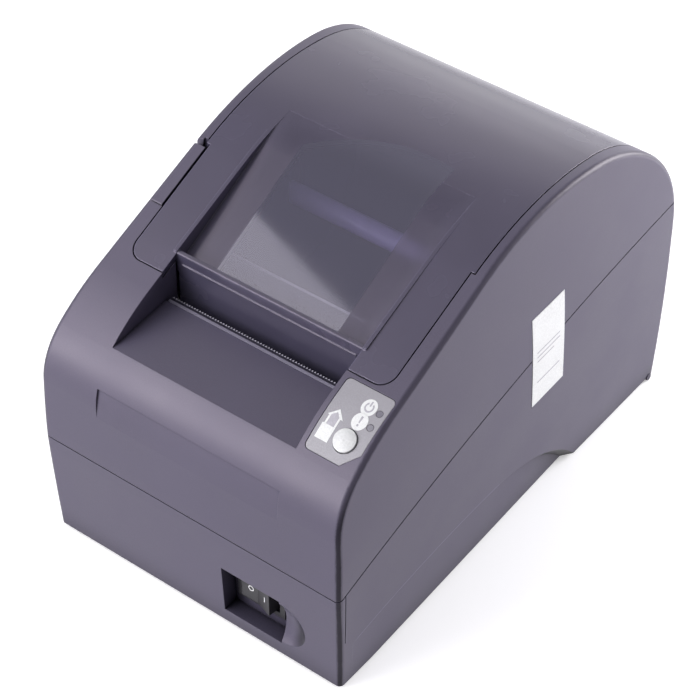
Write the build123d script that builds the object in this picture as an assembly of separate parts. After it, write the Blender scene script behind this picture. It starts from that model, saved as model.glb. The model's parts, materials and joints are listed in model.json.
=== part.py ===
from build123d import *
from math import asin, cos, degrees, pi, radians, sin, sqrt, tan
import os

os.makedirs("parts", exist_ok=True)

# Places are given as x to the right of the middle, d behind the front seam and h above the case bottom.

# Whole case
WIDTH = 144.0
DEPTH = 221.5
FOOT_HEIGHT = 2.0
WALL = 2.4
SEAM_GAP = 0.6
SEAM_DEPTH = 1.9
FRONT_UNDERCUT = 2.2
SEAM_FRONT_H = 48.9
SEAM_BACK_H = 98.1
SEAM_BACK_D = 218.2
SEAM_BOW = 6.5
SIDE_BULGE_UP_R = 550.0
SIDE_BULGE_DOWN_R = 1200.0
EDGE_ROUND = 2.2
FRONT_BEND_R = 150.0
REAR_BEND_R = 60.0

# Top of the side outline: straight lengths and arc radii with the heading that each one ends on
FRONT_TOP_H = 77.8
FRONT_HEADING = 88.6
SHOULDER_R = 30.4
SHOULDER_END = 41.0
BROW_R = 86.0
SLOPE_HEADING = 23.5
SLOPE_LENGTH = 62.1
CREST_R = 129.4
CREST_END = -10.0
REAR_R = 68.0
REAR_END = -75.0

# Sunken panel in the middle of the front: d and h of its foot, middle and top
FRONT_PANEL = ((0.4, 67.5), (1.25, 79.0), (3.0, 86.8))

# Paper exit recess
RECESS_HALF = 43.5
RECESS_FRONT = (12.1, 100.7)
RECESS_BACK = (42.2, 103.4)
RECESS_WALL = 2.0
RECESS_WALL_BACK_D = 48.8

# Lid
LID_WALL = 2.2
LID_FRONT_D = 41.7
LID_HALF_FRONT = 61.2
LID_HALF_BACK = 62.9
LID_JOG_D = 90.6
LID_GAP = 0.5
LID_CORNER = 6.0
POCKET_HALF = 43.8
POCKET_WALL = 1.6
POCKET_RIM = 0.6
POCKET_RIM_BACK_D = 110.0
RAMP_TOP_D = 118.0
RAMP_TOP_STEP = 0.05
RAMP_HEADING = 27.6
RAMP_FRONT = (50.5, 114.8)
LIP_D = 50.0
LIP_THICK = 2.2
LIP_ROUND = 0.7
LIP_BOTTOM_H = 96.0
HINGE_HEADING = -42.0
HINGE_R = 3.6
HINGE_CLEAR = 0.5
HINGE_GAP = 4.4
HINGE_PIN_R = 1.5

# Platen and drive
PLATEN = (61.0, 88.0)
PLATEN_R = 7.5
PLATEN_HALF = 41.5
SHAFT_R = 3.0
RUN_CLEAR = 0.05
BUSH_R = 5.0
LIFT_HEADING = 106.7
GEAR_MODULE = 0.75
PLATEN_TEETH = 24
IDLER_TEETH = 36
PINION_TEETH = 12
MESH_CLEAR = 0.1
PINION_HEADING = 231.7
GEAR_X = 50.6
GEAR_WIDTH = 4.0

# Drive frame
FRAME_X = 47.4
FRAME_SHEET = 1.6
FRAME_FOOT_H = 42.0
FRAME_SCREWS_X = 53.5
FRAME_SCREWS_D = (46.0, 82.0)

# Release lever
LEVER_FOOT_D = 66.6
LEVER_DEPTH = 5.6
LEVER_BACK_D = 89.2
NOTCH_BACK_D = 91.6
LEVER_NOSE_R = 6.6
LEVER_HUB_R = 2.6
LEVER_PIN_R = 1.2
LEVER_CAP = 3.6
LEVER_GAP = 0.4
LEVER_FRONT_LIFT = 2.1

# Paper bucket
ROLL_CENTRE = (118.0, 108.0)
BUCKET_R = 38.0
BUCKET_HALF = 41.5
BUCKET_WALL = 2.0
SPINDLE_R = 4.25

# Control panel
PANEL_X = (45.6, 67.4)
PANEL_D = (12.8, 39.2)
PANEL_CUT = 4.4
PANEL_CUT_HEADING = 49.0
BUTTON_AT = (58.8, 20.6)
BUTTON_R = 4.5
LIGHTS_AT = ((64.4, 27.8), (64.4, 33.2))
LIGHT_R = 1.3

# Switch well in the front
WELL_X = (15.0, 43.0)
WELL_H = (6.2, 30.0)
WELL_BACK_D = 9.0
ROCKER_X = (21.0, 36.5)
ROCKER_H = (14.6, 27.0)
SCOOP_AT = (44.0, 17.5)
SCOOP_R = 12.5
SCOOP_DEPTH = 5.0
SCOOP_BACKING_X = 58.0
SCOOP_BACKING_D = 7.5

# Boards and rear sockets
BOARD_X = 41.0
BOARD_D = (94.0, 214.0)
BOARD_H = 8.0
BOARD_THICK = 1.6

SCREW_R = 1.5
SCREW_HOLE_R = 1.55
SCREW_HEAD_R = 2.8
SCREW_HEAD_H = 1.8

SIDE = Plane(origin=(0, -DEPTH / 2, FOOT_HEIGHT), x_dir=(0, 1, 0), z_dir=(1, 0, 0))


def at(x, d, h):
    """Point in the part's own frame."""
    return Vector(x, d - DEPTH / 2, h + FOOT_HEIGHT)


def slab(outline, x0, x1):
    """Side outline carried from x0 to x1."""
    return extrude(SIDE.offset(x0) * outline, amount=x1 - x0)


def both_sides(outline, x0, x1):
    """Two mirror slabs, one on each side."""
    return slab(outline, x0, x1) + slab(outline, -x1, -x0)


def patch(d0, d1, h0, h1):
    """Rectangle in the side outline."""
    return Pos((d0 + d1) / 2, (h0 + h1) / 2) * Rectangle(d1 - d0, h1 - h0)


def block(x0, x1, d0, d1, h0, h1):
    return slab(patch(d0, d1, h0, h1), x0, x1)


def outline_of(*points):
    """Straight-sided face in the side outline."""
    return make_face(Polyline(*points, close=True))


def rod_x(d, h, radius, x0, x1):
    return slab(Pos(d, h) * Circle(radius), x0, x1)


def rod_z(x, d, h0, h1, radius):
    base = Plane(origin=at(x, d, h0), x_dir=(1, 0, 0), z_dir=(0, 0, 1))
    return extrude(base * Circle(radius), amount=h1 - h0)


def rod_y(x, h, d0, d1, radius):
    base = Plane(origin=at(x, d0, h), x_dir=(1, 0, 0), z_dir=(0, 1, 0))
    return extrude(base * Circle(radius), amount=d1 - d0)


def polar(centre, heading, length):
    return (centre[0] + length * cos(radians(heading)), centre[1] + length * sin(radians(heading)))


def turn(point, heading, radius, new_heading):
    """Arc that turns down from one heading to another: the arc, its end and its centre."""
    centre = polar(point, heading - 90, radius)
    middle = polar(centre, (heading + new_heading) / 2 + 90, radius)
    end = polar(centre, new_heading + 90, radius)
    return ThreePointArc(point, middle, end), end, centre


def top_line():
    """Front face, shoulder, slope, crest and rear as tangent pieces; also their joints and centres."""
    lean = (FRONT_TOP_H - SEAM_FRONT_H) / tan(radians(FRONT_HEADING))
    start = (lean, FRONT_TOP_H)
    shoulder, p1, c1 = turn(start, FRONT_HEADING, SHOULDER_R, SHOULDER_END)
    brow, p2, c2 = turn(p1, SHOULDER_END, BROW_R, SLOPE_HEADING)
    p3 = polar(p2, SLOPE_HEADING, SLOPE_LENGTH)
    crest, p4, c4 = turn(p3, SLOPE_HEADING, CREST_R, CREST_END)
    rear, p5, c5 = turn(p4, CREST_END, REAR_R, REAR_END)
    edges = [Line((0, SEAM_FRONT_H), start), shoulder, brow, Line(p2, p3), crest, rear]
    return edges, (start, p1, p2, p3, p4, p5), (c1, c2, c4, c5)


TOP_EDGES, TOP_JOINTS, TOP_CENTRES = top_line()


def surface(d):
    """Height and heading of the outer surface at a depth between the shoulder and the rear."""
    starts = [joint[0] for joint in TOP_JOINTS]
    c_shoulder, c_brow, c_crest, c_rear = TOP_CENTRES
    if starts[2] < d < starts[3]:
        rise = (d - starts[2]) * tan(radians(SLOPE_HEADING))
        return TOP_JOINTS[2][1] + rise, SLOPE_HEADING
    if d <= starts[1]:
        centre, radius = c_shoulder, SHOULDER_R
    elif d <= starts[2]:
        centre, radius = c_brow, BROW_R
    elif d <= starts[4]:
        centre, radius = c_crest, CREST_R
    else:
        centre, radius = c_rear, REAR_R
    offset_d = d - centre[0]
    return centre[1] + sqrt(radius ** 2 - offset_d ** 2), -degrees(asin(offset_d / radius))


def under_surface(d, depth):
    """Point at a depth square under the outer surface."""
    h, heading = surface(d)
    return polar((d, h), heading - 90, depth)


def case_outline():
    bottom_front = (FRONT_UNDERCUT, 0)
    bottom_back = (DEPTH, 0)
    last = TOP_JOINTS[-1]
    edges = [Line(bottom_front, (0, SEAM_FRONT_H))] + TOP_EDGES
    edges += [Line(last, bottom_back), Line(bottom_back, bottom_front)]
    face = make_face(edges)
    front_bend = face.vertices().sort_by_distance((0, SEAM_FRONT_H))[0]
    face = fillet(front_bend, FRONT_BEND_R)
    rear_bend = face.vertices().sort_by_distance(last)[0]
    return fillet(rear_bend, REAR_BEND_R)


CASE = case_outline()


def inset(depth):
    """Case outline moved inwards."""
    return offset(CASE, amount=-depth, kind=Kind.INTERSECTION)


def band(outer, inner):
    """Ring of the case outline between two depths under the surface."""
    outside = inset(outer) if outer else CASE
    return outside - inset(inner)


def seam_height(d):
    t = d / SEAM_BACK_D
    return SEAM_FRONT_H + (SEAM_BACK_H - SEAM_FRONT_H) * t + 4 * SEAM_BOW * t * (1 - t)


def below_seam(rise):
    """Side outline under the seam, with the seam moved up."""
    marks = [(d, seam_height(d) + rise) for d in (-8, SEAM_BACK_D / 2, DEPTH + 6)]
    low_front = (-8, -20)
    low_back = (DEPTH + 6, -20)
    edges = [ThreePointArc(*marks), Line(marks[2], low_back)]
    edges += [Line(low_back, low_front), Line(low_front, marks[0])]
    return make_face(edges)


def bulge(half, reach, radius):
    """Point and middle point of a side's arc, from the widest level to a reach above or below it."""
    marks = []
    for z in (reach / 2, reach):
        marks.append((half - radius + sqrt(radius ** 2 - z ** 2), z))
    return marks


def side_prism(depth):
    """Prism along the seam's slope with gently bulged sides, widest near the seam."""
    slope = (SEAM_BACK_H - SEAM_FRONT_H) / SEAM_BACK_D
    level = SEAM_FRONT_H + SEAM_BOW * 2 / 3
    lead = 20
    half = WIDTH / 2 - depth
    up_middle, up_end = bulge(half, 125, SIDE_BULGE_UP_R)
    down_middle, down_end = bulge(half, -125, SIDE_BULGE_DOWN_R)
    front = Plane(origin=at(0, -lead, level - lead * slope), x_dir=(1, 0, 0), z_dir=(0, -1, 0))
    edges = []
    for side in (-1, 1):
        widest = (side * half, 0)
        for middle, end in ((up_middle, up_end), (down_middle, down_end)):
            edges.append(ThreePointArc(widest, (side * middle[0], middle[1]), (side * end[0], end[1])))
    for end in (up_end, down_end):
        edges.append(Line((-end[0], end[1]), end))
    run = DEPTH + 2 * lead
    section = front * make_face(edges)
    return Solid.extrude(section.faces()[0], Vector(0, run, run * slope))


def is_long_corner(edge):
    """Edges where the curved front, top and rear meet the sides."""
    middle = edge.position_at(0.5)
    ends = (edge.position_at(0), edge.position_at(1))
    on_floor = all(abs(p.Z - FOOT_HEIGHT) < 0.01 for p in ends)
    on_widest_line = all(abs(abs(p.X) - WIDTH / 2) < 0.01 for p in ends)
    return abs(middle.X) > WIDTH / 4 and not on_floor and not on_widest_line


def case_block():
    body = slab(CASE, -WIDTH, WIDTH) & side_prism(0)
    return fillet(body.edges().filter_by(is_long_corner), EDGE_ROUND)


CASE_BLOCK = case_block()
CAVITY = slab(inset(WALL), -WIDTH, WIDTH) & side_prism(WALL)
CASE_SHELL = CASE_BLOCK - CAVITY

HINGE_FOOT = polar(TOP_CENTRES[3], HINGE_HEADING + 90, REAR_R)
HINGE = polar(HINGE_FOOT, HINGE_HEADING - 90, HINGE_R)
LEVER_PIVOT = under_surface(LEVER_FOOT_D, LEVER_DEPTH)
IDLER = polar(PLATEN, LIFT_HEADING + 180, GEAR_MODULE * (PLATEN_TEETH + IDLER_TEETH) / 2 + MESH_CLEAR)
PINION = polar(IDLER, PINION_HEADING, GEAR_MODULE * (IDLER_TEETH + PINION_TEETH) / 2 + MESH_CLEAR)


def case_posts():
    """Screw posts in the four corners: x, d, top of the upper post."""
    for x in (-60, 60):
        yield x, 9.0, 88.0
    for x in (-60.5, 60.5):
        yield x, 190.0, 117.0


POST_R = 3.8
POST_SPLIT_GAP = 0.2


def post_split(d):
    return seam_height(d) + 3.0


def panel_plane(x, d):
    """Plane on the outer surface, square to it."""
    h, heading = surface(d)
    normal = polar((0, 0), heading + 90, 1)
    return Plane(origin=at(x, d, h), x_dir=(1, 0, 0), z_dir=(0, normal[0], normal[1]))


def panel_outline(shrink):
    """Label outline with three round corners and one cut corner, seen square to the panel."""
    middle = ((PANEL_X[0] + PANEL_X[1]) / 2, (PANEL_D[0] + PANEL_D[1]) / 2)
    long = (PANEL_D[1] - PANEL_D[0]) / cos(radians(surface(middle[1])[1]))
    wide = PANEL_X[1] - PANEL_X[0]
    plate = Rectangle(wide - 2 * shrink, long - 2 * shrink)
    plate = fillet(plate.vertices(), 2.0)
    cut = Pos(wide / 2, -long / 2) * Rot(0, 0, PANEL_CUT_HEADING) * Rectangle(30, 2 * (PANEL_CUT + shrink))
    return panel_plane(*middle) * (plate - cut)


def panel_cut(depth, shrink):
    """Curved plate of the label's shape, from the surface down to a depth."""
    column = extrude(panel_outline(shrink), amount=12, both=True)
    return slab(band(0, depth) & patch(5, 60, 80, 140), 40, 75) & column


def beside_pivot(*corners):
    """Face given from the lever's pivot: first along the surface to the back, then out of the case."""
    return Pos(*LEVER_PIVOT) * Rot(0, 0, surface(LEVER_FOOT_D)[1]) * make_face(Polyline(*corners, close=True))


def lever_cap_outline(gap, back_d, front_lift):
    """Side outline of the lever's cap, grown by a gap; its front end is round and lifts off the rim."""
    low = LEVER_DEPTH - LEVER_CAP - gap
    ahead = CASE & Pos(*LEVER_PIVOT) * Circle(LEVER_NOSE_R + gap)
    ahead &= beside_pivot((0, low), (-9, low + front_lift), (-9, 9), (0, 9))
    behind = band(0, LEVER_CAP + gap) & beside_pivot((0, -9), (40, -9), (40, 9), (0, 9))
    return ahead + (behind & patch(0, back_d, 90, 150))


def lever_space():
    """Space for the lever's cap in the left rim."""
    return slab(lever_cap_outline(LEVER_GAP, NOTCH_BACK_D, 0), -80, -LID_HALF_FRONT)


def rounded_front(half, front_d, corner):
    """Upright prism from a depth to the rear, with two round front corners."""
    long = HINGE_FOOT[0] - front_d + 20
    plan = Pos(0, front_d + long / 2 - DEPTH / 2) * Rectangle(2 * half, long)
    front = plan.vertices().sort_by(Axis.Y)[:2]
    return extrude(fillet(front, corner), amount=200)


def hinge_cut(half):
    """Groove for the lid's barrel, open to the outside."""
    groove = Pos(*HINGE) * Circle(HINGE_R + HINGE_CLEAR)
    mouth = Pos((HINGE_GAP - 14) / 2, 7) * Rectangle(HINGE_GAP + 14, 14)
    mouth = Pos(*HINGE) * Rot(0, 0, HINGE_HEADING) * mouth
    return slab(groove + mouth, -half, half)


def front_panel_cut():
    """Shallow panel in the middle of the front, deepest under the shoulder and fading out downwards."""
    foot, middle, top = FRONT_PANEL
    outer_top = (-3, top[1] + 2)
    outer_foot = (-3, foot[1])
    edges = [ThreePointArc(foot, middle, top), Line(top, outer_top), Line(outer_top, outer_foot)]
    edges.append(Line(outer_foot, foot))
    return slab(make_face(edges), -RECESS_HALF, RECESS_HALF)


def upper_casing():
    part = CASE_SHELL - slab(below_seam(0), -WIDTH, WIDTH) - front_panel_cut()
    # recess for the leaving paper, with its floor and side walls
    front_d, front_h = RECESS_FRONT
    back_d, back_h = RECESS_BACK
    drop = RECESS_WALL
    open_top = outline_of((front_d, front_h), (back_d + 1, back_h), (back_d + 1, 150), (front_d, 150))
    part -= slab(open_top, -RECESS_HALF, RECESS_HALF)
    floor = outline_of(
        (front_d, front_h), (back_d, back_h), (back_d, back_h - drop), (front_d + 3, front_h - drop - 1.5),
        (front_d - 3, front_h - 5),
    )
    walls = (CASE & patch(front_d - 1, LID_FRONT_D - LID_GAP, front_h - drop, 130))
    walls += inset(LID_WALL + LID_GAP) & patch(LID_FRONT_D - 2, RECESS_WALL_BACK_D, 97, 130)
    part += slab(floor & CASE, -RECESS_HALF - drop, RECESS_HALF + drop)
    part += both_sides(walls, RECESS_HALF, RECESS_HALF + drop)
    # opening under the lid
    bay_front = LID_FRONT_D - LID_GAP
    bay_side = LID_HALF_FRONT + LID_GAP
    bay_back_side = LID_HALF_BACK + LID_GAP
    top_skin = band(0, WALL + 0.01)
    bay = slab(top_skin & patch(bay_front, LID_JOG_D, 100, 160), -bay_side, bay_side)
    part -= bay & rounded_front(bay_side, bay_front, LID_CORNER + LID_GAP)
    part -= slab(top_skin & patch(LID_JOG_D, HINGE[0], 100, 160), -bay_back_side, bay_back_side)
    # ledges that carry the lid's edges
    ledge = band(LID_WALL + LID_GAP, LID_WALL + LID_GAP + 1.8) & patch(bay_front - 4, HINGE[0] - 6, 100, 160)
    inside = slab(inset(1), -WIDTH, WIDTH) & side_prism(1)
    part += both_sides(ledge, 59.6, 72) & inside
    part += both_sides(ledge & patch(0, bay_front + 3, 90, 160), RECESS_HALF + 0.5, 62)
    front_rib = band(1.5, LID_WALL + 2) & patch(bay_front - 4, bay_front - 0.5, 90, 160)
    part += both_sides(front_rib, RECESS_HALF + 0.5, 62)
    # hinge ears
    ear = Pos(*HINGE) * Circle(HINGE_R + 2.4) & inset(0.6)
    part += both_sides(ear, bay_back_side, 72) & inside
    part -= hinge_cut(bay_back_side)
    for side in (-1, 1):
        x_out = side * (bay_back_side + 3.4)
        x_in = side * (bay_back_side - 1)
        part -= rod_x(*HINGE, HINGE_PIN_R, min(x_in, x_out), max(x_in, x_out))
    # screw posts, each tied to its side by a rib
    for x, d, top in case_posts():
        x0, x1 = sorted((x, 1.2 * x))
        part += block(x0, x1, d - 1.2, d + 1.2, post_split(d) + POST_SPLIT_GAP, top) & inside
        part += rod_z(x, d, post_split(d) + POST_SPLIT_GAP, top, POST_R)
        part -= rod_z(x, d, post_split(d) - 1, post_split(d) + 9, SCREW_HOLE_R)
    # control panel: label recess, button, light and board pegs
    part -= panel_cut(0.7, 0)
    button = panel_plane(*BUTTON_AT)
    part += extrude(button.offset(-4.4) * Circle(BUTTON_R + 1.6), amount=3.2)
    part -= extrude(button.offset(-8) * Circle(BUTTON_R + 0.25), amount=12)
    for spot in LIGHTS_AT:
        part -= extrude(panel_plane(*spot).offset(-8) * Circle(LIGHT_R + 0.05), amount=12)
    # lever space in the left rim, clear room under it and a boss for its pivot pin
    part -= lever_space()
    room = slab(band(0, 14) & patch(LEVER_FOOT_D - 3.5, NOTCH_BACK_D + 1, 90, 150), -80, -50)
    part -= room & side_prism(WALL + 0.6)
    boss = Pos(*LEVER_PIVOT) * Circle(3.4) & inset(LEVER_CAP + 1)
    part += slab(boss, -72, -66.3) & inside
    part -= rod_x(*LEVER_PIVOT, LEVER_PIN_R, -67.6, -60)
    return part


def seam_tongue():
    """Rim on the lower half that fits inside the upper half."""
    low = below_seam(-SEAM_GAP) - below_seam(-5)
    high = below_seam(2) - below_seam(-SEAM_GAP - 0.1)
    inner = slab(inset(WALL + 1.1), -WIDTH, WIDTH) & side_prism(WALL + 1.1)
    lower_ring = (slab(inset(SEAM_DEPTH), -WIDTH, WIDTH) & side_prism(SEAM_DEPTH)) - inner
    upper_ring = (slab(inset(WALL + 0.1), -WIDTH, WIDTH) & side_prism(WALL + 0.1)) - inner
    return (lower_ring & slab(low, -WIDTH, WIDTH)) + (upper_ring & slab(high, -WIDTH, WIDTH))


def grip_outline():
    """Arch of the finger grip low on each side: a long rise, a crown and a round fall to the back."""
    front = (9.0, 19.5)
    rise, crown, _ = turn(front, GRIP_RISE_HEADING, GRIP_RISE_R, 0)
    fall, back, _ = turn(crown, 0, GRIP_FALL_R, GRIP_FALL_HEADING)
    low_back = (back[0], -20)
    low_front = (front[0], -20)
    return make_face([rise, fall, Line(back, low_back), Line(low_back, low_front), Line(low_front, front)])


GRIP_RISE_HEADING = 11.5
GRIP_RISE_R = 454.0
GRIP_FALL_R = 84.0
GRIP_FALL_HEADING = -55.0
GRIP_EDGE_X = 71.0
GRIP_REACH = 6.2
GRIP_TAPER = 45
GRIP_FLOOR = ((71.1, 9.0), (65.6, 146.0))
GROOVE_D = (3.8, 4.2)
TOE_AT = (217.5, -0.1)
TOE_R = 1.6


def grip_cut():
    """Finger grip on the right side: flush at the front, deeper to the back, with a sloped upper wall."""
    edge = SIDE.offset(GRIP_EDGE_X)
    part = extrude(edge * grip_outline(), amount=-GRIP_REACH, taper=GRIP_TAPER)
    part += extrude(edge * grip_outline(), amount=5)
    (x0, d0), (x1, d1) = GRIP_FLOOR
    slope = (x1 - x0) / (d1 - d0)
    floor = [(x0 + slope * (d - d0), d) for d in (0, 170)]
    plan = Plane(origin=at(0, 0, -25), x_dir=(1, 0, 0), z_dir=(0, 0, 1))
    return part & extrude(plan * make_face(Polyline(*floor, (80, 170), (80, 0), close=True)), amount=80)


REAR_SOCKETS = {
    "power_inlet": (-34.0, 16.0, 11.0),
    "serial_port": (-8.0, 32.0, 12.5),
    "usb_port": (20.5, 12.2, 11.0),
    "drawer_port": (36.5, 13.0, 13.0),
}


def socket_box(name, grow, d0, d1):
    """Box of one rear socket: middle x, width and height as listed, standing on the board."""
    x, wide, tall = REAR_SOCKETS[name]
    top = BOARD_H + BOARD_THICK + tall
    return block(x - wide / 2 - grow, x + wide / 2 + grow, d0, d1, BOARD_H + BOARD_THICK - grow, top + grow)


FEET_AT = [(x, d) for x in (-54, 54) for d in (22, 208)]
FOOT_R = 7.0
FOOT_SINK = 0.8
BUCKET_FEET_AT = [(x, d) for x in (-49, 49) for d in (101, 137)]
BUCKET_FOOT_H = 6.0
BOARD_SCREWS_AT = [(x, d) for x in (-37, 37) for d in (98, 168)]


def hollow_post(part, x, d, h0, h1, radius):
    part += rod_z(x, d, h0, h1, radius)
    return part - rod_z(x, d, h1 - 7, h1 + 0.1, SCREW_HOLE_R)


def lower_casing():
    part = CASE_SHELL & slab(below_seam(-SEAM_GAP), -WIDTH, WIDTH)
    part += seam_tongue()
    # finger grips, with the wall thickened behind them
    pad = offset(grip_outline(), amount=2.5) & patch(0, 170, 0, 60)
    room = slab(inset(1), -WIDTH, WIDTH) & side_prism(1)
    part += both_sides(pad, 63.5, 74) & room
    grip = grip_cut()
    part -= grip
    part -= mirror(grip, about=Plane.YZ)
    # short upright line beside each front corner, and a toe under each rear corner
    part -= both_sides(patch(*GROOVE_D, 24, 60), WIDTH / 2 - 0.9, 80)
    part += both_sides(Pos(*TOE_AT) * Circle(TOE_R), 62, 68)
    # switch well and thumb scoop
    x0, x1 = WELL_X
    h0, h1 = WELL_H
    skin = 1.6
    well = block(x0 - skin, x1 + skin, 0, WELL_BACK_D + skin, h0 - skin, h1 + skin)
    well += block(x1, SCOOP_BACKING_X, 0, SCOOP_BACKING_D, h0 - skin, h1 + skin)
    part += well & room
    part -= block(x0, x1, -5, WELL_BACK_D, h0, h1)
    part -= block(*SWITCH_CUT_X, 5, 20, *SWITCH_CUT_H)
    ball_r = (SCOOP_R ** 2 + SCOOP_DEPTH ** 2) / (2 * SCOOP_DEPTH)
    part -= Pos(at(SCOOP_AT[0], SCOOP_DEPTH - ball_r, SCOOP_AT[1])) * Sphere(ball_r)
    # rear sockets
    for name in REAR_SOCKETS:
        part -= socket_box(name, 0.3, 200, DEPTH + 5)
    # case screw posts, with a counterbore from below
    for x, d, _ in case_posts():
        part += rod_z(x, d, 1, post_split(d), POST_R)
        part -= rod_z(x, d, -1, post_split(d) + 1, SCREW_HOLE_R)
        part -= rod_z(x, d, -1, post_split(d) - 8, SCREW_HEAD_R + 0.1)
    # posts for the drive frame, the bucket and the board
    for x in (-FRAME_SCREWS_X, FRAME_SCREWS_X):
        for d in FRAME_SCREWS_D:
            part = hollow_post(part, x, d, 1, FRAME_FOOT_H, 4.0)
    for x, d in BUCKET_FEET_AT:
        part = hollow_post(part, x, d, 1, BUCKET_FOOT_H, 3.5)
    for x, d in BOARD_SCREWS_AT:
        part += rod_z(x, d, 1, BOARD_H, 3.2)
        part -= rod_z(x, d, BOARD_H - 5, BOARD_H + 0.1, SCREW_HOLE_R)
    for x, d in FEET_AT:
        part -= rod_z(x, d, -1, FOOT_SINK, FOOT_R + 0.1)
    return part


SWITCH_CUT_X = (ROCKER_X[0] - 2.2, ROCKER_X[1] + 2.2)
SWITCH_CUT_H = (ROCKER_H[0] - 1.2, ROCKER_H[1] + 1.2)
ROCKER_FACE_D = 6.2
ROCKER_PIVOT = ((ROCKER_X[0] + ROCKER_X[1]) / 2, 11.0)
ROCKER_TILT = 9.0


def rocker_outline():
    """Plan of the rocker at rest, its left half pressed in: a shallow V about the pivot."""
    half = (ROCKER_X[1] - ROCKER_X[0]) / 2
    face = ROCKER_PIVOT[1] - ROCKER_FACE_D
    rise = half * tan(radians(ROCKER_TILT))
    points = [(-half, face + rise), (0, face), (half, face + rise), (half, face - 5.5), (-half, face - 5.5)]
    return Rot(0, 0, ROCKER_TILT) * make_face(Polyline(*points, close=True))


def rocker_plane(h):
    """Plan with its first axis to the right and its second axis to the front."""
    return Plane(origin=at(ROCKER_PIVOT[0], ROCKER_PIVOT[1], h), x_dir=(1, 0, 0), z_dir=(0, 0, -1))


def rocker():
    part = extrude(rocker_plane(ROCKER_H[1]) * rocker_outline(), amount=ROCKER_H[1] - ROCKER_H[0])
    part += rod_z(*ROCKER_PIVOT, ROCKER_H[0] - 0.6, ROCKER_H[1] + 0.6, 1.2)
    return part


def switch_housing():
    """Box behind the well with a bezel, an open mouth for the rocker and two blade terminals."""
    x0, x1 = SWITCH_CUT_X
    h0, h1 = SWITCH_CUT_H
    part = block(x0 + 0.1, x1 - 0.1, WELL_BACK_D, 25, h0 + 0.1, h1 - 0.1)
    part += block(x0 - 1.4, x1 + 1.4, WELL_BACK_D - 1.4, WELL_BACK_D, h0 - 1.4, h1 + 1.4)
    part -= block(ROCKER_X[0] - 1.1, ROCKER_X[1] + 1.1, 0, 17, ROCKER_H[0] - 0.3, ROCKER_H[1] + 0.3)
    part -= rod_z(*ROCKER_PIVOT, ROCKER_H[0] - 0.7, ROCKER_H[1] + 0.7, 1.25)
    for x in (24.0, 33.0):
        part += block(x - 2.2, x + 2.2, 24, 33, 20.4, 21.2)
    return part


def lid_rear_trim():
    """Side outline in front of the hinge foot, square to the surface."""
    return Pos(*HINGE_FOOT) * Rot(0, 0, HINGE_HEADING) * Pos(-150, 0) * Rectangle(300, 300)


def above_ramp(drop):
    """Space over the sunken ramp: straight from the front, then bent until it runs into the crest."""
    top_h, top_heading = surface(RAMP_TOP_D)
    top = (RAMP_TOP_D, top_h - RAMP_TOP_STEP)
    out = polar((0, 0), RAMP_HEADING + 90, 1)
    gap = (RAMP_FRONT[0] - top[0]) * out[0] + (RAMP_FRONT[1] - top[1]) * out[1]
    bend_r = gap / (1 - cos(radians(RAMP_HEADING - top_heading)))
    centre = polar(top, top_heading - 90, bend_r)
    bend, end, _ = turn(polar(centre, RAMP_HEADING + 90, bend_r), RAMP_HEADING, bend_r, top_heading)
    corners = [end, (end[0], 170), (30, 170), (30, 90), (LIP_D, 90), (LIP_D, RAMP_FRONT[1]), RAMP_FRONT]
    edges = [bend, Line(RAMP_FRONT, bend.position_at(0))]
    edges += [Line(first, second) for first, second in zip(corners, corners[1:])]
    return Pos(0, -drop) * make_face(edges)


def pocket_rim():
    """Low rim along the pocket's side edges, which fades out towards the back."""
    pivot = (POCKET_RIM_BACK_D, surface(POCKET_RIM_BACK_D)[0])
    lift = degrees(POCKET_RIM / (POCKET_RIM_BACK_D - LIP_D))
    raised = Pos(*pivot) * Rot(0, 0, -lift) * Pos(-pivot[0], -pivot[1]) * CASE
    return (raised - inset(1)) & patch(LIP_D, POCKET_RIM_BACK_D, 100, 160)


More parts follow.
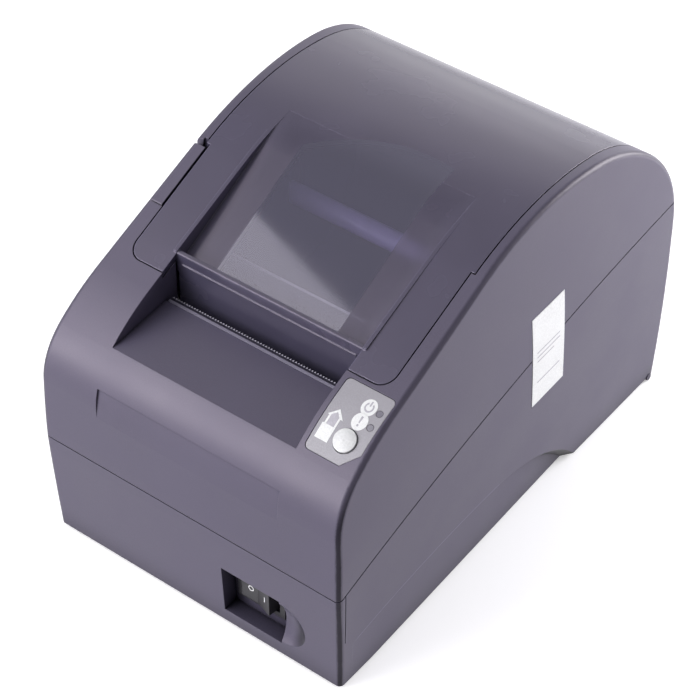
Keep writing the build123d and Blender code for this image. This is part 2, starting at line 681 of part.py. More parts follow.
def lid_cover():
    skin = band(0, LID_WALL) & lid_rear_trim()
    ahead = skin & patch(LID_FRONT_D, LID_JOG_D + LID_GAP, 100, 160)
    behind = skin & patch(LID_JOG_D + LID_GAP, DEPTH, 100, 160)
    part = slab(ahead, -LID_HALF_FRONT, LID_HALF_FRONT) + slab(behind, -LID_HALF_BACK, LID_HALF_BACK)
    corners = rounded_front(LID_HALF_FRONT + 0.001, LID_FRONT_D, LID_CORNER)
    part &= corners + block(-80, 80, 80, DEPTH, 50, 170)
    # sunken ramp between the two flanks
    part -= slab(above_ramp(0), -POCKET_HALF, POCKET_HALF)
    under = LID_WALL / cos(radians(RAMP_HEADING))
    ramp = (above_ramp(under) - above_ramp(0)) & CASE & patch(RAMP_FRONT[0], RAMP_TOP_D, 100, 160)
    part += slab(ramp, -POCKET_HALF - POCKET_WALL, POCKET_HALF + POCKET_WALL)
    web = above_ramp(under) & CASE & patch(LIP_D, RAMP_TOP_D, RAMP_FRONT[1] - under, 160)
    part += both_sides(web, POCKET_HALF, POCKET_HALF + POCKET_WALL)
    part += both_sides(pocket_rim(), POCKET_HALF, POCKET_HALF + POCKET_WALL)
    # front wall under the lip, narrower where it swings between the recess walls, and its ridge
    lip_top = surface(LIP_D)[0] + POCKET_RIM / 2
    upper_wall = patch(LIP_D, LIP_D + LIP_THICK, RAMP_FRONT[1] - under, lip_top)
    upper_wall = fillet(upper_wall.vertices().group_by(Axis.Y)[-1], LIP_ROUND)
    part += slab(upper_wall, -POCKET_HALF - 0.1, POCKET_HALF + 0.1)
    lower_half = RECESS_HALF - 0.3
    part += slab(patch(LIP_D, LIP_D + LIP_THICK, LIP_BOTTOM_H, lip_top - 2), -lower_half, lower_half)
    ridge = Pos(LIP_D, lip_top - 4.8) * Circle(0.5)
    part += slab(ridge, -41, 41)
    # bosses for the platen frame
    boss = outline_of((58, 112), (69, 112), (69, 123.2), (58, 118))
    part += both_sides(boss, 34, 44)
    for x in (-39, 39):
        part -= rod_z(x, 63.5, 111, 118, SCREW_HOLE_R)
    # hinge barrel with a round bore at each end
    part += rod_x(*HINGE, HINGE_R, -LID_HALF_BACK, LID_HALF_BACK)
    barrel_rib = band(0.5, LID_WALL + 2.5) & patch(HINGE[0] - 9, HINGE[0], 120, 150) & lid_rear_trim()
    part += slab(barrel_rib, -58, 58)
    part -= rod_x(*HINGE, HINGE_PIN_R + RUN_CLEAR, -64, -50)
    part -= rod_x(*HINGE, HINGE_PIN_R + RUN_CLEAR, 50, 64)
    return part


def hinge_pins():
    return rod_x(*HINGE, HINGE_PIN_R, -66.7, -51) + rod_x(*HINGE, HINGE_PIN_R, 51, 66.7)


PLATEN_FRAME_X = 43.8
PLATEN_FRAME_SHEET = 1.2


def platen_frame():
    """Sheet frame under the lid: two side plates, a back web and a flange on top."""
    side = outline_of((56, 92), (66, 92), (71.2, 92), (71.2, 112), (57, 112), (56, 100))
    side += Pos(*PLATEN) * Circle(6.4)
    side -= Pos(*PLATEN) * Circle(4.0)
    x0 = PLATEN_FRAME_X
    part = both_sides(side, x0, x0 + PLATEN_FRAME_SHEET)
    part += block(-x0 - 1, x0 + 1, 70, 71.2, 97, 112)
    flange = block(34, x0 + 1, 57, 71.2, 110.8, 112)
    flange += block(-x0 - 1, -34, 57, 71.2, 110.8, 112)
    part += flange
    for x in (-39, 39):
        part -= rod_z(x, 63.5, 109, 113, SCREW_HOLE_R)
    return part


def screw_up(x, d, h, length):
    """Screw driven upwards, its head's top face at h."""
    return rod_z(x, d, h - SCREW_HEAD_H, h, SCREW_HEAD_R) + rod_z(x, d, h - 0.1, h + length, SCREW_R)


def screw_down(x, d, h, length):
    """Screw driven downwards, its head's underside at h, with a cross slot."""
    part = rod_z(x, d, h, h + SCREW_HEAD_H, SCREW_HEAD_R) + rod_z(x, d, h - length, h + 0.1, SCREW_R)
    for wide, long in ((3.4, 0.7), (0.7, 3.4)):
        part -= block(x - wide / 2, x + wide / 2, d - long / 2, d + long / 2, h + SCREW_HEAD_H - 0.8, h + 3)
    return part


def group(solids):
    return Compound(children=[solid for item in solids for solid in item.solids()])


def platen_bushes():
    bush = Pos(*PLATEN) * Circle(BUSH_R) - Pos(*PLATEN) * Circle(SHAFT_R + RUN_CLEAR)
    spigot = Pos(*PLATEN) * Circle(3.97) - Pos(*PLATEN) * Circle(SHAFT_R + RUN_CLEAR)
    x0 = PLATEN_FRAME_X
    x1 = x0 + PLATEN_FRAME_SHEET
    return both_sides(bush, x1, 49.5) + both_sides(spigot, x0 - 0.1, x1)


def platen_shaft():
    part = rod_x(*PLATEN, SHAFT_R, -54.6, GEAR_X + GEAR_WIDTH + 0.8)
    return chamfer(part.edges().filter_by(GeomType.CIRCLE), 0.4)


def platen_roller():
    ring = Pos(*PLATEN) * Circle(PLATEN_R) - Pos(*PLATEN) * Circle(SHAFT_R)
    part = slab(ring, -PLATEN_HALF, PLATEN_HALF)
    circles = part.edges().filter_by(GeomType.CIRCLE)
    return chamfer(circles.filter_by(lambda edge: edge.radius > SHAFT_R + 1), 0.5)


def gear_face(centre, teeth, heading, bore):
    """Spur gear outline with one tooth pointing along the heading."""
    pitch_r = GEAR_MODULE * teeth / 2
    tip_r = pitch_r + 0.95 * GEAR_MODULE
    root_r = pitch_r - 1.2 * GEAR_MODULE
    half_pitch = 180 / teeth
    marks = ((-0.68, root_r), (-0.22, tip_r), (0.22, tip_r), (0.68, root_r))
    points = []
    for k in range(teeth):
        for share, radius in marks:
            points.append(polar(centre, heading + 2 * half_pitch * k + share * half_pitch, radius))
    return make_face(Polyline(*points, close=True)) - Pos(*centre) * Circle(bore)


def platen_gear():
    face = gear_face(PLATEN, PLATEN_TEETH, LIFT_HEADING + 180, SHAFT_R)
    return slab(face, GEAR_X, GEAR_X + GEAR_WIDTH)


IDLER_STUD_R = 2.0
MOTOR_SHAFT_R = 1.0


def idler_gear():
    face = gear_face(IDLER, IDLER_TEETH, LIFT_HEADING + 180 / IDLER_TEETH, IDLER_STUD_R + RUN_CLEAR)
    part = slab(face, GEAR_X, GEAR_X + GEAR_WIDTH)
    for side_x in (GEAR_X, GEAR_X + GEAR_WIDTH - 1.2):
        part -= slab(Pos(*IDLER) * Circle(10.6) - Pos(*IDLER) * Circle(4.2), side_x, side_x + 1.2)
    return part


def idler_stud():
    part = rod_x(*IDLER, IDLER_STUD_R, FRAME_X + FRAME_SHEET, GEAR_X + GEAR_WIDTH + 0.2)
    return part + rod_x(*IDLER, 3.2, GEAR_X + GEAR_WIDTH + 0.2, GEAR_X + GEAR_WIDTH + 1.0)


def motor_pinion():
    face = gear_face(PINION, PINION_TEETH, PINION_HEADING + 180 + 180 / PINION_TEETH, MOTOR_SHAFT_R)
    return slab(face, GEAR_X, GEAR_X + GEAR_WIDTH + 0.4)


def motor_shaft():
    return rod_x(*PINION, MOTOR_SHAFT_R, 36, GEAR_X + GEAR_WIDTH + 0.4)


MOTOR_R = 12.5
MOTOR_EAR = 15.5
MOTOR_X = (29.0, 46.6)


def motor_ears():
    """Screw places of the motor's flange, front and back."""
    return [polar(PINION, heading, MOTOR_EAR) for heading in (20, 200)]


def stepper_motor():
    x0, x1 = MOTOR_X
    part = rod_x(*PINION, MOTOR_R, x0, x1)
    flange = Pos(*PINION) * Rot(0, 0, 20) * SlotCenterToCenter(2 * MOTOR_EAR, 7)
    flange += Pos(*PINION) * Circle(9)
    for ear in motor_ears():
        flange -= Pos(*ear) * Circle(SCREW_HOLE_R)
    part += slab(flange, x1, FRAME_X)
    part -= rod_x(*PINION, MOTOR_SHAFT_R + RUN_CLEAR, 35.9, 48)
    return part


def motor_screws():
    x_head = FRAME_X + FRAME_SHEET
    return group(
        rod_x(*ear, SCREW_R, x_head - 4, x_head + 0.1) + rod_x(*ear, 2.3, x_head, x_head + 1.2)
        for ear in motor_ears()
    )


def frame_side():
    """Side plate of the drive frame, with a slot that lets the platen's bush lift out."""
    plate = outline_of(
        (38, FRAME_FOOT_H), (88, FRAME_FOOT_H), (88, 66), (80, 80), (80, 120), (72, 124), (66, 121),
        (65, 97), (40, 97), (36, 90), (36, 70),
    )
    plate += Pos(*LEVER_PIVOT) * Circle(3.0)
    ahead = polar(PLATEN, LIFT_HEADING + 90, BUSH_R + 0.1)
    ahead_top = polar(ahead, LIFT_HEADING, 30)
    behind = polar(PLATEN, LIFT_HEADING - 90, BUSH_R + 0.1)
    behind_top = polar(behind, 94, 30)
    plate -= Pos(*PLATEN) * Circle(BUSH_R + RUN_CLEAR)
    plate -= outline_of(ahead, ahead_top, behind_top, behind)
    plate -= Pos(*LEVER_PIVOT) * Circle(LEVER_PIN_R)
    return plate


def head_frame(a0, a1, b0, b1):
    """Rectangle beside the platen: a along its lifting path, b away from it to the front."""
    return (
        Pos(*PLATEN) * Rot(0, 0, LIFT_HEADING)
        * Pos((a0 + a1) / 2, (b0 + b1) / 2) * Rectangle(a1 - a0, b1 - b0)
    )


HEAD_GAP = PLATEN_R + 0.3
HEAD_THICK = 1.2
SINK_THICK = 4.0
SPRING_LENGTH = 6.0
SPRINGS_X = (-25, 25)


def drive_frame():
    part = both_sides(frame_side(), FRAME_X, FRAME_X + FRAME_SHEET)
    b0 = HEAD_GAP + HEAD_THICK + SINK_THICK + SPRING_LENGTH
    part += slab(head_frame(-18, 7, b0, b0 + FRAME_SHEET), -FRAME_X, FRAME_X)
    part += both_sides(patch(40, 88, FRAME_FOOT_H, FRAME_FOOT_H + FRAME_SHEET), FRAME_X, 57.5)
    part -= rod_x(*PINION, 3, 45, 50)
    for ear in motor_ears():
        part -= rod_x(*ear, SCREW_HOLE_R, 45, 50)
    for x in (-FRAME_SCREWS_X, FRAME_SCREWS_X):
        for d in FRAME_SCREWS_D:
            part -= rod_z(x, d, FRAME_FOOT_H - 1, FRAME_FOOT_H + 3, SCREW_HOLE_R)
    return part


def thermal_head():
    part = slab(head_frame(-15.5, 4.5, HEAD_GAP, HEAD_GAP + HEAD_THICK), -42.5, 42.5)
    return part + slab(head_frame(-12, -8, HEAD_GAP - 0.9, HEAD_GAP), -30, 30)


def heat_sink():
    b0 = HEAD_GAP + HEAD_THICK
    part = slab(head_frame(-13, 3, b0, b0 + SINK_THICK), -42.5, 42.5)
    for a in (-11, -8, 0):
        part -= slab(head_frame(a, a + 1.4, b0 + 2, b0 + SINK_THICK + 1), -42.6, 42.6)
    return part


def head_springs():
    """Two short springs between the heat sink and the frame, as plain sleeves."""
    b0 = HEAD_GAP + HEAD_THICK + SINK_THICK
    start = polar(polar(PLATEN, LIFT_HEADING, -4), LIFT_HEADING + 90, b0)
    out = polar((0, 0), LIFT_HEADING + 90, 1)
    sleeves = []
    for x in SPRINGS_X:
        base = Plane(origin=at(x, *start), x_dir=(1, 0, 0), z_dir=(0, out[0], out[1]))
        sleeves.append(extrude(base * (Circle(2.6) - Circle(2.0)), amount=SPRING_LENGTH))
    return group(sleeves)


TEAR_TEETH = 66
TEAR_PITCH = 1.28


def tear_bar():
    """Thin steel strip on the recess's back edge: saw teeth that point back over a bent mounting flange."""
    half = TEAR_TEETH * TEAR_PITCH / 2
    back_d, back_h = RECESS_BACK
    root = back_d + 1.9
    points = [(-half, back_d + 0.05), (-half, root)]
    for k in range(TEAR_TEETH):
        left = -half + k * TEAR_PITCH
        points += [(left + TEAR_PITCH / 2, root + 1.1), (left + TEAR_PITCH, root)]
    points += [(half, back_d + 0.05)]
    plan = Plane(origin=at(0, 0, back_h + 0.05), x_dir=(1, 0, 0), z_dir=(0, 0, 1))
    part = extrude(plan * make_face(Polyline(*points, close=True)), amount=0.5)
    part -= block(-half - 1, half + 1, root - 0.55, root - 0.15, back_h + 0.3, back_h + 1)
    return part + block(-half, half, back_d + 0.05, back_d + 0.65, back_h - 5, back_h + 0.2)


def paper_guide():
    """Bent plate that leads the paper under the platen."""
    top = [(58.6, 74.2), (64.0, 76.8), (76.0, 79.6), (86.0, 84.0)]
    low = [(d, h - 1.2) for d, h in reversed(top)]
    part = slab(outline_of(*top, *low), -42.5, 42.5)
    tab = patch(72, 80, 70, 79)
    return part + both_sides(tab, 42.5, 47.4) - both_sides(patch(73.5, 81, 69, 77.5), 42.4, 46.2)


def lever():
    """Release lever: a cap in the left rim, a hub on the pivot and a hook for the platen shaft."""
    cap = lever_cap_outline(0, LEVER_BACK_D, LEVER_FRONT_LIFT)
    part = slab(cap, -80, -LID_HALF_FRONT - LID_GAP - 0.6) & CASE_SHELL
    web_face = (band(1.2, LEVER_DEPTH + 3) & patch(LEVER_PIVOT[0] - 2.5, LEVER_BACK_D - 3, 90, 150))
    part += slab(web_face, -65.6, -63.4)
    part += rod_x(*LEVER_PIVOT, LEVER_HUB_R, -65.6, -51)
    d, h = LEVER_PIVOT
    hook = outline_of(
        (d - 2.6, h), (d - 3.2, 98.0), (60.2, 93.2), (60.0, 91.5), (66.4, 91.5), (66.4, 86.5), (69.8, 86.5),
        (d + 2.6, h),
    )
    part += slab(hook, -54.5, -51)
    return part - rod_x(*LEVER_PIVOT, LEVER_PIN_R + RUN_CLEAR, -70, -40)


def lever_pin():
    return rod_x(*LEVER_PIVOT, LEVER_PIN_R, -67.6, -FRAME_X)


def lever_spring():
    """Torsion spring round the lever's hub, as a plain sleeve."""
    ring = Pos(*LEVER_PIVOT) * Circle(3.2) - Pos(*LEVER_PIVOT) * Circle(LEVER_HUB_R + RUN_CLEAR)
    return slab(ring, -60, -56)


def paper_bucket():
    """Round tub for the paper roll, with spindle slots and four legs."""
    d, h = ROLL_CENTRE
    tub = Pos(d, h) * Circle(BUCKET_R + BUCKET_WALL) - Pos(d, h) * Circle(BUCKET_R)
    tub &= patch(0, DEPTH, 0, h)
    tub -= patch(d - 50, d - 30.8, h - 30, h + 1)
    tub += patch(d + BUCKET_R, d + BUCKET_R + BUCKET_WALL, h - 1, h + 20)
    part = slab(tub, -BUCKET_HALF, BUCKET_HALF)
    side = Pos(d, h) * Circle(BUCKET_R + BUCKET_WALL)
    side &= patch(87.4, DEPTH, 0, h + 20)
    side += patch(d, d + BUCKET_R + BUCKET_WALL, h - 1, h + 20)
    side -= Pos(d, h) * Circle(SPINDLE_R + RUN_CLEAR)
    side -= patch(d - SPINDLE_R - 0.1, d + SPINDLE_R + 0.1, h, h + 30)
    part += both_sides(side, BUCKET_HALF, BUCKET_HALF + BUCKET_WALL)
    outer = BUCKET_HALF + BUCKET_WALL
    for x, foot_d in BUCKET_FEET_AT:
        step = 1 if x > 0 else -1
        x0, x1 = sorted((step * outer, step * (outer + BUCKET_WALL)))
        part += block(x0, x1, foot_d - 4, foot_d + 4, BUCKET_FOOT_H, 84)
        x0, x1 = sorted((step * outer, step * (abs(x) + 4)))
        part += block(x0, x1, foot_d - 4, foot_d + 4, BUCKET_FOOT_H, BUCKET_FOOT_H + 2)
        part -= rod_z(x, foot_d, BUCKET_FOOT_H - 1, BUCKET_FOOT_H + 3, SCREW_HOLE_R)
    return part


def roll_spindle():
    return chamfer(rod_x(*ROLL_CENTRE, SPINDLE_R, -45.5, 45.5).edges().filter_by(GeomType.CIRCLE), 0.8)


BUTTON_LOW = 4.5
BUTTON_RISE = 1.2
BUTTON_DOME_R = 16.0
PLUNGER_TOP = 7.7
PLUNGER_LOW = 9.9
PLUNGER_R = 1.75
PLUNGER_TRAVEL = 0.85


def feed_button():
    """Domed round button with a rim under the casing and a stem over the small switch."""
    plane = panel_plane(*BUTTON_AT)
    part = extrude(plane.offset(-BUTTON_LOW) * Circle(BUTTON_R), amount=BUTTON_LOW + 3)
    part &= plane * Pos(0, 0, BUTTON_RISE - BUTTON_DOME_R) * Sphere(BUTTON_DOME_R)
    part += extrude(plane.offset(-BUTTON_LOW) * Circle(BUTTON_R + 1.2), amount=-1.0)
    return part + extrude(plane.offset(-PLUNGER_TOP) * Circle(1.6), amount=4)


BOARD_DROP = 11.6


def control_board_plane():
    """Upper face of the small board, parallel to the panel."""
    return panel_plane((PANEL_X[0] + PANEL_X[1]) / 2 + 0.6, 27.5).offset(-BOARD_DROP)


def control_board():
    """Small board under the panel, held on two pegs."""
    plane = control_board_plane()
    part = extrude(plane * Rectangle(19, 25), amount=-1.6)
    for x, y in ((-7, 9.5), (7, 9.5)):
        part -= extrude(plane.offset(1) * Pos(x, y) * Circle(1.25), amount=-4)
    return part


def light_guides():
    pieces = []
    for spot in LIGHTS_AT:
        pieces.append(extrude(panel_plane(*spot).offset(-7.5) * Circle(LIGHT_R), amount=7.3))
    return group(pieces)


def control_label():
    part = panel_cut(0.65, 0.15) - panel_cut(0.15, -0.5)
    button = panel_plane(*BUTTON_AT)
    part -= extrude(button.offset(-3) * Circle(BUTTON_R + 0.3), amount=6)
    for spot in LIGHTS_AT:
        part -= extrude(panel_plane(*spot).offset(-3) * Circle(LIGHT_R + 0.1), amount=6)
    return part


TACT_SIZE = 6.0
TACT_HEIGHT = 3.2


def tact_switch():
    """Small push switch on the control board, with a hole for its plunger."""
    button = panel_plane(*BUTTON_AT)
    place = control_board_plane()
    below = place.to_local_coords(button.offset(-PLUNGER_LOW).origin)
    part = extrude(place * Pos(below.X, below.Y) * Rectangle(TACT_SIZE, TACT_SIZE), amount=TACT_HEIGHT)
    hole = button.offset(-PLUNGER_LOW - PLUNGER_TRAVEL)
    return part - extrude(hole * Circle(PLUNGER_R + RUN_CLEAR), amount=5)


def switch_plunger():
    """Plunger of the small switch, under the button's stem."""
    foot = panel_plane(*BUTTON_AT).offset(-PLUNGER_LOW)
    return extrude(foot * Circle(PLUNGER_R), amount=PLUNGER_LOW - PLUNGER_TOP)


def main_board():
    part = block(-BOARD_X, BOARD_X, *BOARD_D, BOARD_H, BOARD_H + BOARD_THICK)
    for x, d in BOARD_SCREWS_AT:
        part -= rod_z(x, d, BOARD_H - 1, BOARD_H + 3, SCREW_HOLE_R)
    return part


def board_chips():
    """Packages soldered on the main board."""
    top = BOARD_H + BOARD_THICK
    chips = [block(-6, 12, 104, 122, top, top + 1.6), block(-30, -20, 106, 114, top, top + 2.2)]
    chips += [rod_z(x, 180, top, top + 16, 5) for x in (-32, -20)]
    chips += [block(18, 30, 104, 110, top, top + 8), block(-18, -4, 150, 160, top, top + 1.4)]
    return group(chips)


def fiscal_module():
    """Sealed memory box on the board, beside the chips."""
    top = BOARD_H + BOARD_THICK
    body = block(4, 34, 126, 176, top + 1, top + 15)
    body = fillet(body.edges().filter_by(Axis.Z), 2.5)
    return body + block(10, 28, 130, 136, top, top + 1)


def socket_body(name, depth, hollow_x, hollow_h, hollow_deep):
    """Rear socket as a block with a rectangular mouth."""
    x, wide, tall = REAR_SOCKETS[name]
    middle = BOARD_H + BOARD_THICK + tall / 2
    face = DEPTH - 1.2
    part = socket_box(name, 0, face - depth, face)
    mouth = block(
        x - hollow_x / 2, x + hollow_x / 2, face - hollow_deep, face + 1,
        middle - hollow_h / 2, middle + hollow_h / 2,
    )
    return part - mouth, x, middle, face


def power_inlet():
    part, x, middle, face = socket_body("power_inlet", 16, 9.2, 8.4, 10)
    for step in (-2.6, 0, 2.6):
        part += rod_y(x + step, middle, face - 10, face - 5.5, 0.7)
    return part


def usb_port():
    part, x, middle, face = socket_body("usb_port", 16, 8.6, 7.8, 9)
    return part + block(x - 2.8, x + 2.8, face - 9.1, face - 1, middle - 1.6, middle + 1.6)


def drawer_port():
    part, x, middle, face = socket_body("drawer_port", 17, 9.8, 7.2, 12)
    return part


def serial_port():
    """Nine-pin connector: a flange with a D-shaped shell and nine pins."""
    x, wide, tall = REAR_SOCKETS["serial_port"]
    middle = BOARD_H + BOARD_THICK + tall / 2
    face = DEPTH - 6.0
    part = socket_box("serial_port", 0, face - 12, face)
    rear = Plane(origin=at(x, face, middle), x_dir=(-1, 0, 0), z_dir=(0, 1, 0))
    shape = make_face(Polyline((-9, 4.2), (9, 4.2), (7.6, -4.2), (-7.6, -4.2), close=True))
    shell = offset(shape, amount=0.3, kind=Kind.INTERSECTION)
    shell -= offset(shape, amount=-0.5, kind=Kind.INTERSECTION)
    part += extrude(rear.offset(-0.1) * shell, amount=5.9)
    for row, count in ((1.4, 5), (-1.4, 4)):
        for k in range(count):
            px = (k - (count - 1) / 2) * 2.77
            part += extrude(rear.offset(-0.1) * Pos(px, row) * Circle(0.5), amount=4.6)
    return part


def rubber_feet():
    feet = []
    for x, d in FEET_AT:
        foot = rod_z(x, d, -FOOT_HEIGHT, FOOT_SINK, FOOT_R)
        rim = foot.edges().filter_by(GeomType.CIRCLE).sort_by(Axis.Z)[0]
        feet.append(chamfer(rim, 0.6))
    return group(feet)


def case_screws():
    return group(screw_up(x, d, post_split(d) - 8, 14) for x, d, _ in case_posts())


def frame_screws():
    top = FRAME_FOOT_H + FRAME_SHEET
    return group(screw_down(x, d, top, 8) for x in (-FRAME_SCREWS_X, FRAME_SCREWS_X) for d in FRAME_SCREWS_D)


def bucket_screws():
    return group(screw_down(x, d, BUCKET_FOOT_H + 2, 6) for x, d in BUCKET_FEET_AT)


def board_screws():
    return group(screw_down(x, d, BOARD_H + BOARD_THICK, 5) for x, d in BOARD_SCREWS_AT)


def platen_frame_screws():
    return group(screw_up(x, 63.5, 110.8, 6) for x in (-39, 39))


STICKER_AT = (129.5, 80.3)
STICKER_SIZE = (21.0, 46.5)
STICKER_TURN = 4.0
STICKER_THICK = 0.15


def side_sticker():
    """Plain sticker wrapped over the seam on the right side."""
    skin = (slab(CASE, 0, WIDTH) & side_prism(-STICKER_THICK)) - side_prism(0)
    return skin & slab(Pos(*STICKER_AT) * Rot(0, 0, STICKER_TURN) * Rectangle(*STICKER_SIZE), 50, 80)


def paper_sensor():
    """Paper-end sensor on the bucket's floor."""
    d, h = ROLL_CENTRE
    return block(-4, 4, d - 6, d + 6, h - BUCKET_R - BUCKET_WALL - 6, h - BUCKET_R - BUCKET_WALL)


def lid_switch():
    """Small switch on the drive frame that senses the closed lid."""
    return block(FRAME_X + FRAME_SHEET, 56, 70, 79, 104, 111) + block(52, 54, 71, 78, 111, 112.2)


def head_cable():
    """Flat cable from the print head down to the main board."""
    start = polar(polar(PLATEN, LIFT_HEADING, -13.4), LIFT_HEADING + 90, HEAD_GAP + HEAD_THICK + 0.25)
    turn_back = polar(start, LIFT_HEADING + 180, 10)
    points = [start, turn_back, (72.0, 34.0), (88.0, 21.0), (99.0, 17.0), (99.0, BOARD_H + BOARD_THICK)]
    line = FilletPolyline(*points, radius=3.0)
    strip = trace(line, line_width=0.5)
    return slab(strip, -12, 12)


NODES = {
    "upper_casing": upper_casing,
    "lower_casing": lower_casing,
    "lid_cover": lid_cover,
    "hinge_pins": hinge_pins,
    "platen_frame": platen_frame,
    "platen_frame_screws": platen_frame_screws,
    "platen_bushes": platen_bushes,
    "platen_shaft": platen_shaft,
    "platen_roller": platen_roller,
    "platen_gear": platen_gear,
    "idler_gear": idler_gear,
    "idler_stud": idler_stud,
    "motor_pinion": motor_pinion,
    "motor_shaft": motor_shaft,
    "stepper_motor": stepper_motor,
    "motor_screws": motor_screws,
    "drive_frame": drive_frame,
    "frame_screws": frame_screws,
    "thermal_head": thermal_head,
    "heat_sink": heat_sink,
    "head_springs": head_springs,
    "tear_bar": tear_bar,
    "paper_guide": paper_guide,
    "release_lever": lever,
    "lever_pin": lever_pin,
    "lever_spring": lever_spring,
    "paper_bucket": paper_bucket,
    "bucket_screws": bucket_screws,
    "roll_spindle": roll_spindle,
    "paper_sensor": paper_sensor,
    "lid_switch": lid_switch,
    "feed_button": feed_button,
    "tact_switch": tact_switch,
    "switch_plunger": switch_plunger,
    "control_board": control_board,
    "light_guides": light_guides,
    "control_label": control_label,
    "switch_housing": switch_housing,
    "rocker": rocker,
    "main_board": main_board,
    "board_chips": board_chips,
    "board_screws": board_screws,
    "fiscal_module": fiscal_module,
    "power_inlet": power_inlet,
    "serial_port": serial_port,
    "usb_port": usb_port,
    "drawer_port": drawer_port,
    "head_cable": head_cable,
    "case_screws": case_screws,
    "rubber_feet": rubber_feet,
    "side_sticker": side_sticker,
}

for name, build in NODES.items():
    export_step(build(), f"parts/{name}.step")
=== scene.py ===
import json
import math

import bmesh
import bpy
from mathutils import Matrix, Vector
from mathutils.bvhtree import BVHTree


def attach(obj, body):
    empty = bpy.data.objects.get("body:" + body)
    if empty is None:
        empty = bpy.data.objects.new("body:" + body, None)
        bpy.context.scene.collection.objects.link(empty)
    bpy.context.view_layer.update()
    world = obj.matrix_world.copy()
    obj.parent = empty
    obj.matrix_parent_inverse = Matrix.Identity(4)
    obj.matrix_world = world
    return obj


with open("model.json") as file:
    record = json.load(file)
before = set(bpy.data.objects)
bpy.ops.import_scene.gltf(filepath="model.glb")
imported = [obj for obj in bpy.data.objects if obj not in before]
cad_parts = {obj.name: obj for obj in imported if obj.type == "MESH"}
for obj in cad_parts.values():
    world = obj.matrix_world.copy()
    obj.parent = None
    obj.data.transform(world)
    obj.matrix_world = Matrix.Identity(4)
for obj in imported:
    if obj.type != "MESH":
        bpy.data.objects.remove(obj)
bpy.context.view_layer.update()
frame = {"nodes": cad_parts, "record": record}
NODES = frame["nodes"]
scene = bpy.context.scene

CASE_DEPTH = 0.2215
FOOT = 0.002


def at(x, d, h):
    """Millimetres from the middle, the front seam and the case bottom to the part's frame in metres."""
    return Vector((x / 1000, d / 1000 - CASE_DEPTH / 2, h / 1000 + FOOT))


# Node graphs

MIX_FIRST = 6
MIX_SECOND = 7
MIX_RESULT = 2
NOISE_LOW = 0.3
NOISE_HIGH = 0.7
BEVEL_SAMPLES = 4
CAVITY_SAMPLES = 6
# how alike the rounded and the true face direction are, on a flat face and on a sharp edge
ALIKE_FLAT = 0.995
ALIKE_SHARP = 0.85


